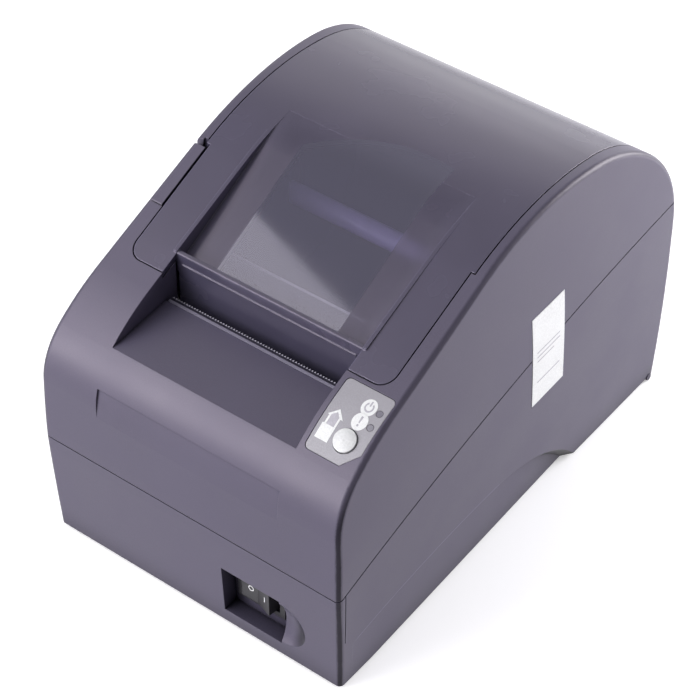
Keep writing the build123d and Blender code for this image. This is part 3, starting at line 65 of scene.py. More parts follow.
class Graph:
    """Small helper that adds nodes to one material or to the world and links them."""

    def __init__(self, owner, output_kind="ShaderNodeOutputMaterial"):
        self.owner = owner
        self.owner.use_nodes = True
        self.tree = owner.node_tree
        self.tree.nodes.clear()
        self.output = self.tree.nodes.new(output_kind)

    def link(self, source, target):
        self.tree.links.new(source, target)

    def put(self, socket, value):
        if isinstance(value, bpy.types.NodeSocket):
            self.link(value, socket)
        else:
            socket.default_value = value

    def add(self, kind, **settings):
        node = self.tree.nodes.new(kind)
        for key, value in settings.items():
            setattr(node, key, value)
        return node

    def fed(self, kind, **values):
        """A node with values or links put into its named sockets."""
        node = self.add(kind)
        for key, value in values.items():
            self.put(node.inputs[key.replace("_", " ")], value)
        return node

    def math(self, operation, a, b=0.0, c=0.0):
        node = self.add("ShaderNodeMath", operation=operation)
        for socket, value in zip(node.inputs, (a, b, c)):
            self.put(socket, value)
        return node.outputs[0]

    def product(self, first, *others):
        result = first
        for other in others:
            result = self.math("MULTIPLY", result, other)
        return result

    def span(self, value, low, high, out_low=0.0, out_high=1.0):
        """Smooth step from out_low, where the value is low, to out_high, where it is high."""
        node = self.add("ShaderNodeMapRange", interpolation_type="SMOOTHSTEP")
        for socket, item in zip(node.inputs, (value, low, high, out_low, out_high)):
            self.put(socket, item)
        return node.outputs[0]

    def spread(self, noise, out_low=0.0, out_high=1.0):
        """The middle of a noise's range, spread from out_low to out_high."""
        return self.span(noise, NOISE_LOW, NOISE_HIGH, out_low, out_high)

    def mix(self, factor, a, b):
        """Colour a where the factor is nought and colour b where it is one."""
        node = self.add("ShaderNodeMix", data_type="RGBA")
        self.put(node.inputs["Factor"], factor)
        self.put(node.inputs[MIX_FIRST], a)
        self.put(node.inputs[MIX_SECOND], b)
        return node.outputs[MIX_RESULT]

    def blend(self, factor, a, b):
        """Shader a where the factor is nought and shader b where it is one."""
        node = self.add("ShaderNodeMixShader")
        self.put(node.inputs[0], factor)
        self.link(a.outputs[0], node.inputs[1])
        self.link(b.outputs[0], node.inputs[2])
        return node

    def coords(self):
        return self.add("ShaderNodeTexCoord").outputs["Object"]

    def split(self, vector):
        node = self.add("ShaderNodeSeparateXYZ")
        self.link(vector, node.inputs[0])
        return tuple(node.outputs)

    def noise(self, scale, detail=3.0, roughness=0.6, stretch=None):
        vector = self.coords()
        if stretch:
            vector = self.fed("ShaderNodeMapping", Vector=vector, Scale=stretch).outputs[0]
        node = self.fed("ShaderNodeTexNoise", Vector=vector, Scale=scale, Detail=detail, Roughness=roughness)
        return node.outputs["Fac"]

    def face_normal(self):
        return self.add("ShaderNodeNewGeometry").outputs["Normal"]

    def bevel(self, radius):
        node = self.add("ShaderNodeBevel", samples=BEVEL_SAMPLES)
        node.inputs["Radius"].default_value = radius
        return node.outputs[0]

    def edge_mask(self, bevelled):
        """One along sharp edges, nought on open faces."""
        dot = self.add("ShaderNodeVectorMath", operation="DOT_PRODUCT")
        self.link(bevelled, dot.inputs[0])
        self.link(self.face_normal(), dot.inputs[1])
        return self.span(dot.outputs["Value"], ALIKE_FLAT, ALIKE_SHARP)

    def cavity(self, reach, low, high, dark):
        """One on open faces, falling to dark where other surfaces stand closer than reach; it masks painted
        shade.
        """
        node = self.add("ShaderNodeAmbientOcclusion", samples=CAVITY_SAMPLES)
        node.inputs["Distance"].default_value = reach
        return self.span(node.outputs["AO"], low, high, dark, 1.0)

    def bump(self, height, strength, distance, normal=None):
        node = self.fed("ShaderNodeBump", Strength=strength, Distance=distance, Height=height)
        if normal is not None:
            self.link(normal, node.inputs["Normal"])
        return node.outputs[0]

    def shader(self, colour, roughness, normal=None, **sockets):
        node = self.fed("ShaderNodeBsdfPrincipled", Base_Color=colour, Roughness=roughness, **sockets)
        if normal is not None:
            self.link(normal, node.inputs["Normal"])
        return node

    def background_seen(self):
        """One for the rays that show the background: straight ones, and those through or off a surface."""
        path = self.add("ShaderNodeLightPath")
        seen = self.math("MAXIMUM", path.outputs["Is Camera Ray"], path.outputs["Is Transmission Ray"])
        return self.math("MAXIMUM", seen, path.outputs["Is Glossy Ray"])

    def done(self, node):
        self.link(node.outputs[0], self.output.inputs["Surface"])
        return self.owner


def material_graph(name):
    return Graph(bpy.data.materials.new(name))


def grey(level, blue=0.0):
    """An even grey, with a little more blue where that is given."""
    return (level, level, level + blue, 1.0)


def shade(colour, factor):
    return tuple(channel * factor for channel in colour[:3]) + (1.0,)


# Plain materials

WHITE = grey(1.0)


def plastic(name, colour, roughness=0.5, grain=2600.0, grain_depth=0.00002, grain_strength=0.5,
            wear=0.25, bevel=0.0004):
    """Moulded plastic: fine spark grain, slow changes in tone and gloss, and lighter rubbed edges."""
    g = material_graph(name)
    fine = g.noise(grain)
    slow = g.noise(38.0, roughness=0.55)
    round_edge = g.bevel(bevel)
    edge = g.edge_mask(round_edge)
    tone = g.mix(g.spread(slow), shade(colour, 0.94), shade(colour, 1.06))
    speck = g.mix(g.span(fine, 0.35, 0.7), tone, shade(colour, 1.12))
    worn = g.mix(g.product(edge, wear), speck, shade(colour, 1.9))
    gloss = g.math("ADD", g.spread(slow, -0.03, 0.03), roughness)
    normal = g.bump(fine, grain_strength, grain_depth, round_edge)
    return g.done(g.shader(worn, gloss, normal))


def smooth_plastic(name, colour, roughness, grain=1200.0, grain_strength=0.2, bevel=0.0004):
    """Film, ink or polished plastic: hardly any grain, and no lighter edges."""
    return plastic(name, colour, roughness, grain, grain_depth=0.000004, grain_strength=grain_strength,
                   wear=0.0, bevel=bevel)


def ink(name, colour):
    return smooth_plastic(name, colour, 0.45, grain=1600.0, bevel=0.0001)


DRAWN = (1.0, 40.0, 1.0)
EXTRUDED = (40.0, 1.0, 1.0)


def metal(name, colour, roughness, stretch=DRAWN):
    """Bare metal with lines along one way, unless stretch is None, and small stains."""
    g = material_graph(name)
    lines = g.noise(900.0, stretch=stretch)
    stains = g.noise(60.0)
    round_edge = g.bevel(0.0002)
    tone = g.mix(g.span(stains, 0.3, 0.75), shade(colour, 0.88), shade(colour, 1.05))
    gloss = g.math("ADD", g.spread(lines, -0.06, 0.08), roughness)
    normal = g.bump(lines, 0.25, 0.00001, round_edge)
    return g.done(g.shader(tone, gloss, normal, Metallic=1.0))


def rubber(name, colour):
    """Dull rubber with fine grain and paler dust in patches."""
    g = material_graph(name)
    fine = g.noise(3200.0, detail=4.0, roughness=0.65)
    dust = g.noise(90.0, detail=4.0)
    tone = g.mix(g.span(dust, 0.45, 0.75), colour, shade(colour, 1.7))
    normal = g.bump(fine, 0.5, 0.00003)
    return g.done(g.shader(tone, g.spread(dust, 0.62, 0.78), normal))


# Casing plastic

LILAC = (1.0, 0.90, 1.0, 1.0)
CASING = (0.066, 0.059, 0.095, 1.0)
# painted shade in narrow seams: its colour, reach and darkest level
SEAM_SHADE = grey(0.004, 0.002)
SEAM_REACH = 0.0022
SEAM_SHADE_LEVEL = 0.12
CASE_GRAIN = 2400.0
CASE_GRAIN_STRENGTH = 0.5
CASE_GRAIN_DEPTH = 0.00002
# reach of the painted shade in deep corners
CASE_CORNER_REACH = 0.022
# sideways and upward share of a face's direction where a long corner begins and ends
CORNER_BEGINS = (0.12, 0.45)
CORNER_ENDS = (0.97, 0.86)
CORNER_LEVELS_OUT = (0.55, 0.2)
LEVEL_CORNER = 0.45


def cavity_shaded(g, colour, corner_reach, corner_shade_level):
    """The colour with painted shade in narrow seams and in deep corners, and the mask of the faces without
    it.
    """
    seams = g.cavity(SEAM_REACH, 0.35, 0.85, SEAM_SHADE_LEVEL)
    corners = g.cavity(corner_reach, 0.1, 0.85, corner_shade_level)
    unshaded = g.product(seams, corners)
    return g.mix(unshaded, SEAM_SHADE, colour), unshaded


def dark_reflection_corners(g):
    """One on the rounded corners along the case, nought on its flat sides and its level faces: where the
    painted dark reflection goes.
    """
    x, _, z = g.split(g.face_normal())
    side_turn = g.math("ABSOLUTE", x)
    rising = g.span(side_turn, *CORNER_BEGINS)
    falling = g.span(side_turn, *CORNER_ENDS)
    upright = g.span(z, *CORNER_LEVELS_OUT, LEVEL_CORNER, 1.0)
    return g.product(rising, falling, upright)


def casing_material(name, painted_highlight=None, corner_shade_level=0.85):
    """Casing plastic: long round corners glossier and darkened as a painted dark reflection, and painted
    shade in seams and deep corners.
    """
    g = material_graph(name)
    fine = g.noise(CASE_GRAIN)
    slow = g.noise(30.0, roughness=0.55)
    dark_reflection = dark_reflection_corners(g)
    round_edge = g.bevel(0.0004)
    edge = g.edge_mask(round_edge)
    tone = g.mix(g.spread(slow), shade(CASING, 0.95), shade(CASING, 1.05))
    speck = g.mix(g.span(fine, 0.35, 0.7), tone, shade(CASING, 1.1))
    # painted dark reflection on the long round corners
    dark = g.mix(g.product(dark_reflection, 0.9), speck, shade(CASING, 0.2))
    # lighter edges: partly rubbed wear, partly a painted highlight along sharp edges
    worn = g.mix(g.product(edge, 0.22), dark, shade(CASING, 1.9))
    # painted highlight along the given line, such as the grip edge
    if painted_highlight is not None:
        worn = g.mix(painted_highlight(g), worn, shade(CASING, 2.4))
    # painted shade in seams and deep corners
    colour, unshaded = cavity_shaded(g, worn, CASE_CORNER_REACH, corner_shade_level)
    gloss = g.math("SUBTRACT", g.spread(slow, 0.39, 0.45), g.product(dark_reflection, 0.1))
    normal = g.bump(fine, CASE_GRAIN_STRENGTH, CASE_GRAIN_DEPTH, round_edge)
    # weaker specular on the long corners and in the painted shade
    level = g.product(g.math("MULTIPLY_ADD", dark_reflection, -0.35, 0.5), unshaded)
    return g.done(g.shader(colour, gloss, normal, Specular_IOR_Level=level, Specular_Tint=LILAC))


# The arc along the upper edge of the side grips, painted as a highlight

GRIP_FRONT = at(0, 9.0, 19.5)
GRIP_RADIUS = 0.454
GRIP_LEAN = math.radians(11.5)
GRIP_FADE = 0.004
GRIP_LINE_INNER = 0.0002
GRIP_LINE_OUTER = 0.0006
GRIP_HIGHLIGHT_LEVEL = 0.7
CASE_SIDE_FROM = 0.066
CASE_SIDE_TO = 0.068


def grip_edge_highlight(g):
    """Painted highlight line along the upper edge of the side grips."""
    x, y, z = g.split(g.coords())
    centre_y = GRIP_FRONT.y + GRIP_RADIUS * math.sin(GRIP_LEAN)
    centre_z = GRIP_FRONT.z - GRIP_RADIUS * math.cos(GRIP_LEAN)
    dy = g.math("SUBTRACT", y, centre_y)
    dz = g.math("SUBTRACT", z, centre_z)
    reach = g.math("SQRT", g.math("ADD", g.product(dy, dy), g.product(dz, dz)))
    off = g.math("ABSOLUTE", g.math("SUBTRACT", reach, GRIP_RADIUS))
    on_line = g.span(off, GRIP_LINE_OUTER, GRIP_LINE_INNER)
    from_front = g.span(y, GRIP_FRONT.y, GRIP_FRONT.y + GRIP_FADE)
    to_centre = g.span(y, centre_y + GRIP_FADE, centre_y)
    on_side = g.span(g.math("ABSOLUTE", x), CASE_SIDE_FROM, CASE_SIDE_TO)
    return g.product(on_line, from_front, to_centre, on_side, GRIP_HIGHLIGHT_LEVEL)


# Lid plastic

SMOKE = (0.064, 0.058, 0.096, 1.0)
CLEAR_HAZE = (0.044, 0.042, 0.086, 1.0)
CLEAR_GLOSS_TINT = (0.93, 0.88, 1.0, 1.0)
SEEN_THROUGH_TINT = (0.95, 0.94, 1.0, 1.0)
# reach and darkest level of the painted shade in the lid's corners
LID_CORNER_REACH = 0.009
LID_CORNER_SHADE = 0.6
# how much of the light the surface keeps, against what is seen through it
COVER_CLEAR = 0.67
COVER_FROST = 0.15
COVER_THICK = 0.15
THICK_SIDE_FROM = 0.034
THICK_SIDE_TO = 0.046
THICK_BACK_FROM = at(0, 108, 0).y
THICK_BACK_TO = at(0, 124, 0).y
WINDOW_LEFT = -0.0290
WINDOW_RIGHT = 0.0285
WINDOW_FRONT = at(0, 53.6, 0).y
WINDOW_SOFT = 0.0003
WINDOW_FAR = (at(-29.0, 107.5, 0), at(-16.5, 116.6, 0), at(28.5, 125.63, 0))


def window_mask(g, x, y):
    """One in the lid's clear window, nought round it. The far edge is a parabola through three points."""
    left = g.span(x, WINDOW_LEFT - WINDOW_SOFT, WINDOW_LEFT + WINDOW_SOFT)
    right = g.span(x, WINDOW_RIGHT + WINDOW_SOFT, WINDOW_RIGHT - WINDOW_SOFT)
    front = g.span(y, WINDOW_FRONT - WINDOW_SOFT, WINDOW_FRONT + WINDOW_SOFT)
    one, two, three = WINDOW_FAR
    slope = (two.y - one.y) / (two.x - one.x)
    curve = ((three.y - two.y) / (three.x - two.x) - slope) / (three.x - one.x)
    past_one = g.math("SUBTRACT", x, one.x)
    past_two = g.math("SUBTRACT", x, two.x)
    straight = g.math("MULTIPLY_ADD", past_one, slope, one.y)
    edge = g.math("ADD", straight, g.product(past_one, past_two, curve))
    far = g.span(g.math("SUBTRACT", edge, y), -WINDOW_SOFT, WINDOW_SOFT)
    return g.product(left, right, front, far)


def lid_surface(g, clear):
    """What the lid's face itself shows: dull and frosted, but polished in the window, with painted
    highlights on sharp edges and painted shade in corners.
    """
    fine = g.noise(CASE_GRAIN)
    slow = g.noise(34.0, roughness=0.55)
    round_edge = g.bevel(0.0005)
    edge = g.edge_mask(round_edge)
    tone = g.mix(g.spread(slow), shade(SMOKE, 0.96), shade(SMOKE, 1.04))
    # painted highlight along the lid's sharp edges
    edge_highlit = g.mix(g.product(edge, 0.7), tone, shade(SMOKE, 3.2))
    # painted shade in the lid's seams and corners
    colour, _ = cavity_shaded(g, edge_highlit, LID_CORNER_REACH, LID_CORNER_SHADE)
    normal = g.bump(fine, CASE_GRAIN_STRENGTH, CASE_GRAIN_DEPTH, round_edge)
    dull = g.shader(colour, g.spread(slow, 0.24, 0.28), normal, IOR=1.5, Specular_Tint=LILAC)
    glossy = g.shader(CLEAR_HAZE, g.spread(slow, 0.04, 0.06), IOR=1.95, Specular_Tint=CLEAR_GLOSS_TINT)
    return g.blend(clear, dull, glossy)


def lid_behind(g, clear):
    """What is seen through the lid: sharp in the window and for shadows, scattered elsewhere."""
    sharp = g.fed("ShaderNodeBsdfTransparent", Color=SEEN_THROUGH_TINT)
    soft = g.fed("ShaderNodeBsdfRefraction", Color=SEEN_THROUGH_TINT, IOR=1.12, Roughness=0.45)
    path = g.add("ShaderNodeLightPath")
    return g.blend(g.math("MAXIMUM", clear, path.outputs["Is Shadow Ray"]), soft, sharp)


def lid_material(name):
    """Smoked plastic: clear and polished in the window, frosted everywhere else."""
    g = material_graph(name)
    x, y, _ = g.split(g.coords())
    clear = window_mask(g, x, y)
    frost = g.math("SUBTRACT", 1.0, clear)
    outside = g.math("SUBTRACT", 1.0, g.add("ShaderNodeNewGeometry").outputs["Backfacing"])
    thick_side = g.span(g.math("ABSOLUTE", x), THICK_SIDE_FROM, THICK_SIDE_TO)
    thick = g.math("MAXIMUM", thick_side, g.span(y, THICK_BACK_FROM, THICK_BACK_TO))
    cover = g.math("MULTIPLY_ADD", frost, COVER_FROST, COVER_CLEAR)
    cover = g.math("MULTIPLY_ADD", thick, COVER_THICK, cover)
    return g.done(g.blend(g.product(cover, outside), lid_behind(g, clear), lid_surface(g, clear)))


# Tear bar

TEAR_STRIPE_FRONT = (43.1, 43.3)
TEAR_STRIPE_BACK = (44.25, 44.45)
TEAR_TIPS = (44.3, 44.6)
TEAR_STEEL_DARK = (0.25, 0.24, 0.31, 1.0)
TEAR_STEEL_PALE = (0.30, 0.28, 0.36, 1.0)
TEAR_TIPS_TONE = (0.62, 0.60, 0.68, 1.0)
# colour of the painted shadow stripe behind the front edge
TEAR_SHADOW_TONE = (0.030, 0.027, 0.045, 1.0)


def tear_material(name):
    """Steel strip: bright front edge and tooth tips, with a darker stripe between them that is a painted
    shadow.
    """
    g = material_graph(name)
    _, y, _ = g.split(g.coords())
    lines = g.noise(1500.0, stretch=EXTRUDED)

    def past(depths):
        return g.span(y, *(at(0, depth, 0).y for depth in depths))

    shadow_stripe = g.product(past(TEAR_STRIPE_FRONT), past(TEAR_STRIPE_BACK[::-1]))
    strip = g.mix(g.spread(lines), TEAR_STEEL_DARK, TEAR_STEEL_PALE)
    lit = g.mix(past(TEAR_TIPS), strip, TEAR_TIPS_TONE)
    # painted shadow stripe
    tone = g.mix(shadow_stripe, lit, TEAR_SHADOW_TONE)
    gloss = g.spread(lines, 0.28, 0.36)
    return g.done(g.shader(tone, gloss, g.bump(lines, 0.2, 0.00001), Metallic=0.4))


# Which node has which material

MATERIALS = {
    "casing": casing_material("casing_plastic"),
    "lid": lid_material("smoked_plastic"),
    "lever_plastic": casing_material("lever_plastic"),
    "label": smooth_plastic("label_film", (0.30, 0.287, 0.325, 1.0), 0.42, grain=1800.0),
    "button_plastic": smooth_plastic("button_plastic", grey(0.62, 0.02), 0.25, bevel=0.0003),
    "clear_plastic": smooth_plastic("light_plastic", (0.17, 0.16, 0.20, 1.0), 0.2, grain=800.0,
                                    grain_strength=0.1),
    "steel_sheet": metal("zinc_sheet", grey(0.62, 0.02), 0.32),
    "steel_shaft": metal("ground_steel", grey(0.7, 0.02), 0.2),
    "screw_steel": metal("screw_steel", grey(0.5, 0.02), 0.35, stretch=None),
    "platen_rubber": rubber("platen_rubber", grey(0.012, 0.002)),
    "gear_plastic": plastic("gear_plastic", (0.72, 0.70, 0.64, 1.0), 0.4),
    "motor_metal": metal("motor_metal", grey(0.45, 0.02), 0.38),
    "head_ceramic": plastic("head_ceramic", (0.62, 0.58, 0.5, 1.0), 0.35),
    "sink_aluminium": metal("sink_aluminium", grey(0.72, 0.02), 0.35, stretch=EXTRUDED),
    "bucket_plastic": plastic("bucket_plastic", (0.020, 0.018, 0.024, 1.0)),
    "spindle_plastic": plastic("spindle_plastic", (0.56, 0.49, 0.88, 1.0), 0.3),
    "board": plastic("solder_mask", (0.01, 0.09, 0.035, 1.0), 0.35, grain=1500.0, grain_strength=0.6),
    "chip": plastic("chip_plastic", grey(0.012, 0.001), 0.55),
    "module_plastic": plastic("module_plastic", (0.55, 0.54, 0.5, 1.0)),
    "socket_plastic": plastic("socket_plastic", (0.015, 0.014, 0.016, 1.0), 0.45),
    "socket_metal": metal("socket_metal", grey(0.66, 0.02), 0.3, stretch=None),
    "switch_plastic": plastic("switch_plastic", (0.018, 0.017, 0.021, 1.0), 0.35),
    "rubber_foot": rubber("foot_rubber", grey(0.02, 0.002)),
    "sticker": plastic("sticker_paper", grey(0.76, 0.01), 0.55, grain=1400.0, grain_depth=0.00001,
                       grain_strength=0.4, wear=0.0),
    "cable": plastic("cable_film", grey(0.75, 0.03), 0.4),
}
for part in frame["record"]["subparts"]:
    part_materials = NODES[part["node"]].data.materials
    part_materials.clear()
    part_materials.append(MATERIALS[part["material_slot"]])

# painted highlight along the grip edge, and darker painted shade in deep corners
LOWER_CASING = casing_material("lower_casing_plastic", grip_edge_highlight, corner_shade_level=0.15)
NODES["lower_casing"].data.materials[0] = LOWER_CASING
NODES["tear_bar"].data.materials[0] = tear_material("tear_steel")
WHITE_PRINT = ink("white_print", grey(0.76, 0.02))
GREY_PRINT = ink("grey_print", (0.42, 0.40, 0.46, 1.0))

# Printed marks: outlines in millimetres, dropped onto the surface that carries them

FIRST_LIFT = 0.00004
SECOND_LIFT = 0.00008
PRINT_THICK = 0.00003
START_BEFORE = 0.02
DROP_REACH = 0.06
CUT_MERGE = 1e-8


def surface_tree(node):
    """The node's surface, ready for rays."""
    mesh = NODES[node].data
    mesh.calc_loop_triangles()
    corners = [v.co.copy() for v in mesh.vertices]
    triangles = [tuple(t.vertices) for t in mesh.loop_triangles]
    return BVHTree.FromPolygons(corners, triangles)


TREES = {node: surface_tree(node) for node in ("control_label", "rocker", "side_sticker")}


def cut_in_strips(mesh, step):
    """Cuts a flat outline along both ways, so that it can follow a curved surface."""
    low = [min(v.co[axis] for v in mesh.verts) for axis in (0, 1)]
    high = [max(v.co[axis] for v in mesh.verts) for axis in (0, 1)]
    for axis, normal in enumerate((Vector((1, 0, 0)), Vector((0, 1, 0)))):
        for k in range(1, int((high[axis] - low[axis]) / step) + 1):
            everything = mesh.verts[:] + mesh.edges[:] + mesh.faces[:]
            bmesh.ops.bisect_plane(mesh, geom=everything, dist=CUT_MERGE,
                                   plane_co=normal * (low[axis] + k * step), plane_no=normal)


def drop(mesh, place, direction, tree, lift):
    """Moves each point to its start and from there along direction onto the surface, less the lift."""
    for vertex in mesh.verts:
        start = place(vertex.co.x * 1000, vertex.co.y * 1000) - direction * START_BEFORE
        hit = tree.ray_cast(start, direction, DROP_REACH)[0]
        landed = hit if hit is not None else start + direction * START_BEFORE
        vertex.co = landed - direction * lift


def thicken(mesh, direction):
    """Turns the faces against direction and gives them a thickness that way."""
    bmesh.ops.recalc_face_normals(mesh, faces=mesh.faces[:])
    if sum((f.normal for f in mesh.faces), Vector()).dot(direction) > 0:
        bmesh.ops.reverse_faces(mesh, faces=mesh.faces[:])
    solid = bmesh.ops.extrude_face_region(mesh, geom=mesh.faces[:])
    for item in solid["geom"]:
        if isinstance(item, bmesh.types.BMVert):
            item.co -= direction * PRINT_THICK
    bmesh.ops.recalc_face_normals(mesh, faces=mesh.faces[:])


def linked(name, data):
    """A new object of the scene that shows this data."""
    thing = bpy.data.objects.new(name, data)
    scene.collection.objects.link(thing)
    return thing


def printed(name, outline, place, towards, node, body, material, lift=FIRST_LIFT, step=0.001):
    """Thin mark on a node's surface. place() maps the outline to start points, from which it is
    dropped along towards."""
    mesh = bmesh.new()
    face = mesh.faces.new([mesh.verts.new((u / 1000, v / 1000, 0)) for u, v in outline])
    if face.normal.z < 0:
        face.normal_flip()
    cut_in_strips(mesh, step)
    direction = Vector(towards)
    drop(mesh, place, direction, TREES[node], lift)
    thicken(mesh, direction)
    data = bpy.data.meshes.new(name)
    mesh.to_mesh(data)
    mesh.free()
    data.materials.append(material)
    piece = linked(name, data)
    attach(piece, body)


def ring(cx, cy, radius, count=40, start=0.0, end=360.0):
    """Points on a circle, or on an arc with both its ends, from start to end in degrees."""
    points = count if end - start >= 360 else count + 1
    angles = [math.radians(start + (end - start) * k / count) for k in range(points)]
    return [(cx + radius * math.cos(angle), cy + radius * math.sin(angle)) for angle in angles]


def arc_band(cx, cy, inner, outer, start, end, count=28):
    return ring(cx, cy, outer, count, start, end) + ring(cx, cy, inner, count, start, end)[::-1]


def bar(cx, cy, wide, tall):
    return [(cx + u * wide / 2, cy + v * tall / 2) for u, v in ((-1, -1), (1, -1), (1, 1), (-1, 1))]


# Marks on the control label: x and depth in millimetres

ABOVE_LABEL = 108
DISC_RADIUS = 3.1
POWER_X, POWER_D = 59.6, 33.5
POWER_RING_RADII = (1.25, 1.85)
POWER_RING_ANGLES = (125, 415)
POWER_BAR_UP = 1.35
POWER_BAR_SIZE = (0.6, 1.9)
ALERT_X, ALERT_D = 59.6, 28.0
STROKE_LOW, STROKE_HIGH = -0.5, 1.9
STROKE_FOOT, STROKE_HEAD = 0.25, 0.45
ALERT_DOT_DOWN = 1.4
ALERT_DOT_RADIUS = 0.42
FEED_BLOCK = [(47.3, 17.6), (52.9, 17.6), (52.9, 22.6), (47.3, 22.6)]
FEED_ARROW = [(47.9, 22.5), (52.9, 22.5), (52.9, 25.6), (53.9, 25.6),
              (50.6, 28.6), (47.2, 25.6), (47.9, 25.6)]
FEED_INSIDE = [(48.7, 22.6), (52.1, 22.6), (52.1, 25.9), (50.5, 27.4), (48.7, 25.9)]


def on_panel(name, outline, material, lift=FIRST_LIFT):
    printed(name, outline, lambda x, d: at(x, d, ABOVE_LABEL), (0, 0, -1), "control_label", "base",
            material, lift)


def alert_stroke():
    """The stroke of a plain warning mark, narrower towards its foot."""
    high, low = ALERT_D + STROKE_HIGH, ALERT_D + STROKE_LOW
    return [(ALERT_X - STROKE_HEAD, high), (ALERT_X - STROKE_FOOT, low),
            (ALERT_X + STROKE_FOOT, low), (ALERT_X + STROKE_HEAD, high)]


on_panel("power_disc", ring(POWER_X, POWER_D, DISC_RADIUS), WHITE_PRINT)
on_panel("power_ring", arc_band(POWER_X, POWER_D, *POWER_RING_RADII, *POWER_RING_ANGLES), GREY_PRINT,
         SECOND_LIFT)
on_panel("power_bar", bar(POWER_X, POWER_D + POWER_BAR_UP, *POWER_BAR_SIZE), GREY_PRINT, SECOND_LIFT)
on_panel("alert_disc", ring(ALERT_X, ALERT_D, DISC_RADIUS), WHITE_PRINT)
on_panel("alert_stroke", alert_stroke(), GREY_PRINT, SECOND_LIFT)
on_panel("alert_dot", ring(ALERT_X, ALERT_D - ALERT_DOT_DOWN, ALERT_DOT_RADIUS, count=20), GREY_PRINT,
         SECOND_LIFT)
on_panel("feed_block", FEED_BLOCK, WHITE_PRINT)
on_panel("feed_arrow", FEED_ARROW, WHITE_PRINT)
on_panel("feed_inside", FEED_INSIDE, GREY_PRINT, SECOND_LIFT)

# Marks on the power switch: x and height in millimetres

BEFORE_ROCKER = -10
ROCKER_MIDDLE = 20.8
OFF_X = 24.9
OFF_RADII = (0.9, 1.35)
# not quite a full turn, so that the ring is one outline
OFF_ANGLES = (0, 359.9)
ON_X = 32.6
ON_SIZE = (0.55, 2.6)


def on_rocker(name, outline):
    printed(name, outline, lambda x, h: at(x, BEFORE_ROCKER, h), (0, 1, 0), "rocker", "rocker",
            WHITE_PRINT)


on_rocker("off_mark", arc_band(OFF_X, ROCKER_MIDDLE, *OFF_RADII, *OFF_ANGLES, count=30))
on_rocker("on_mark", bar(ON_X, ROCKER_MIDDLE, *ON_SIZE))

# Rules on the side sticker: depth and height in millimetres, turned about the sticker's middle

BESIDE_STICKER = 80
STICKER_MIDDLE = (129.5, 80.3)
STICKER_TURN = math.radians(4.0)
RULE_TALL = 0.5
RULE_STEP = 0.004
# along, up and length of each rule
RULES = ((0.0, 4.0, 15.0), (0.0, 1.6, 15.0), (-2.0, -0.8, 11.0), (0.0, -12.0, 15.0))


def on_sticker(name, outline):
    c, s = math.cos(STICKER_TURN), math.sin(STICKER_TURN)
    middle_d, middle_h = STICKER_MIDDLE
    turned = [(middle_d + c * u - s * v, middle_h + s * u + c * v) for u, v in outline]
    printed(name, turned, lambda d, h: at(BESIDE_STICKER, d, h), (-1, 0, 0), "side_sticker", "base",
            GREY_PRINT, step=RULE_STEP)


for row, (along, up, length) in enumerate(RULES):
    on_sticker(f"sticker_rule_{row}", bar(along, up, length, RULE_TALL))

# Studio

FLOOR_REACH = 6.0
FLOOR_GLOW = 0.42
PAPER_DARK = (0.80, 0.79, 0.82, 1.0)
PAPER_PALE = (0.82, 0.81, 0.84, 1.0)
SKY_TINT = (0.93, 0.92, 1.0, 1.0)
SKY_LEVEL = 0.06
KEY_POWER = 11.6
KEY_WIDE = 1.5
KEY_LONG = 1.0
# the rear edge of the overhead softbox, which shows in the window
KEY_EDGE = (Vector((-0.497, -0.193, 0.9)), Vector((-0.394, -0.227, 0.9)))
# name, place, aim, wide, tall, power
LAMPS = (
    ("front_left", (-0.85, -1.45, 0.52), (0, -0.08, 0.1), 1.0, 0.75, 18.0),
    ("shoulder", (-0.60, -1.02, 0.90), (0.0, -0.1, 0.1), 0.9, 0.5, 4.0),
    ("side_rear", (0.38, 0.56, 0.28), (0.07, 0.10, 0.08), 0.4, 0.4, 6.6),
    ("rear_left", (-0.55, 0.62, 0.62), (0, 0.05, 0.1), 0.6, 0.5, 0.8),
    ("rear", (-0.2, 1.5, 0.45), (0, 0, 0.1), 1.4, 0.9, 4.2),
)


def studio_floor():
    """Pale paper that is lifted to white where it is seen, and keeps the shadow."""
    mesh = bmesh.new()
    bmesh.ops.create_grid(mesh, x_segments=2, y_segments=2, size=FLOOR_REACH)
    data = bpy.data.meshes.new("floor")
    mesh.to_mesh(data)
    mesh.free()
    floor = linked("floor", data)
    g = material_graph("floor_paper")
    tone = g.mix(g.spread(g.noise(3.0, detail=2.0, roughness=0.5)), PAPER_DARK, PAPER_PALE)
    paper = g.shader(tone, 0.9)
    glow = g.fed("ShaderNodeEmission", Color=WHITE, Strength=g.product(g.background_seen(), FLOOR_GLOW))
    both = g.add("ShaderNodeAddShader")
    g.link(paper.outputs[0], both.inputs[0])
    g.link(glow.outputs[0], both.inputs[1])
    data.materials.append(g.done(both))


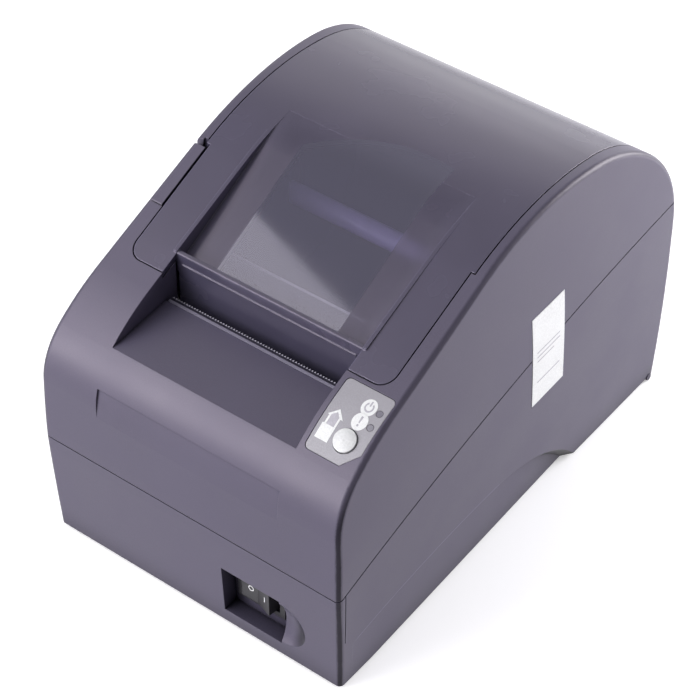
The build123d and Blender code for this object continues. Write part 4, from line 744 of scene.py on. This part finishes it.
def softbox(name, place, turn, wide, tall, power):
    data = bpy.data.lights.new(name, "AREA")
    data.shape = "RECTANGLE"
    data.size, data.size_y = wide, tall
    data.energy = power
    linked(name, data).matrix_world = Matrix.Translation(place) @ turn


def studio_lights():
    """An overhead softbox that faces straight down, and the lamps that aim at the printer."""
    first, second = KEY_EDGE
    along = (second - first).normalized()
    forward = Vector((along.y, -along.x, 0.0))
    centre = (first + second) / 2 + forward * KEY_LONG / 2
    turn = Matrix.Rotation(math.atan2(along.y, along.x), 4, "Z")
    softbox("key", centre, turn, KEY_WIDE, KEY_LONG, KEY_POWER)
    for name, place, aim, wide, tall, power in LAMPS:
        direction = Vector(aim) - Vector(place)
        softbox(name, place, direction.to_track_quat("-Z", "Y").to_matrix().to_4x4(), wide, tall, power)


def studio_world():
    """Soft light from all round, and plain white where the background is seen."""
    world = bpy.data.worlds.new("studio")
    scene.world = world
    g = Graph(world, "ShaderNodeOutputWorld")
    soft = g.fed("ShaderNodeBackground", Color=SKY_TINT, Strength=SKY_LEVEL)
    white = g.fed("ShaderNodeBackground", Color=WHITE, Strength=1.0)
    g.done(g.blend(g.background_seen(), soft, white))


# Camera of the photo, fitted to the printer's edges in it

SENSOR = 36.0
PHOTO_PIXELS = 700.0
FOCAL_PIXELS = 2505.1
CAMERA_AT = at(449.41, -476.80, 718.32)
CAMERA_RIGHT = Vector((0.788787, 0.614666, -0.001015))
CAMERA_UP = Vector((-0.410259, 0.527704, 0.743785))


def photo_camera():
    data = bpy.data.cameras.new("camera")
    data.sensor_width = SENSOR
    data.lens = FOCAL_PIXELS * SENSOR / PHOTO_PIXELS
    data.clip_end = 20.0
    back = CAMERA_RIGHT.cross(CAMERA_UP).normalized()
    up = back.cross(CAMERA_RIGHT).normalized()
    rotation = Matrix((CAMERA_RIGHT, up, back)).transposed().to_4x4()
    camera = linked("camera", data)
    camera.matrix_world = Matrix.Translation(CAMERA_AT) @ rotation
    scene.camera = camera


studio_floor()
studio_lights()
studio_world()
photo_camera()
scene.view_settings.view_transform = "Standard"
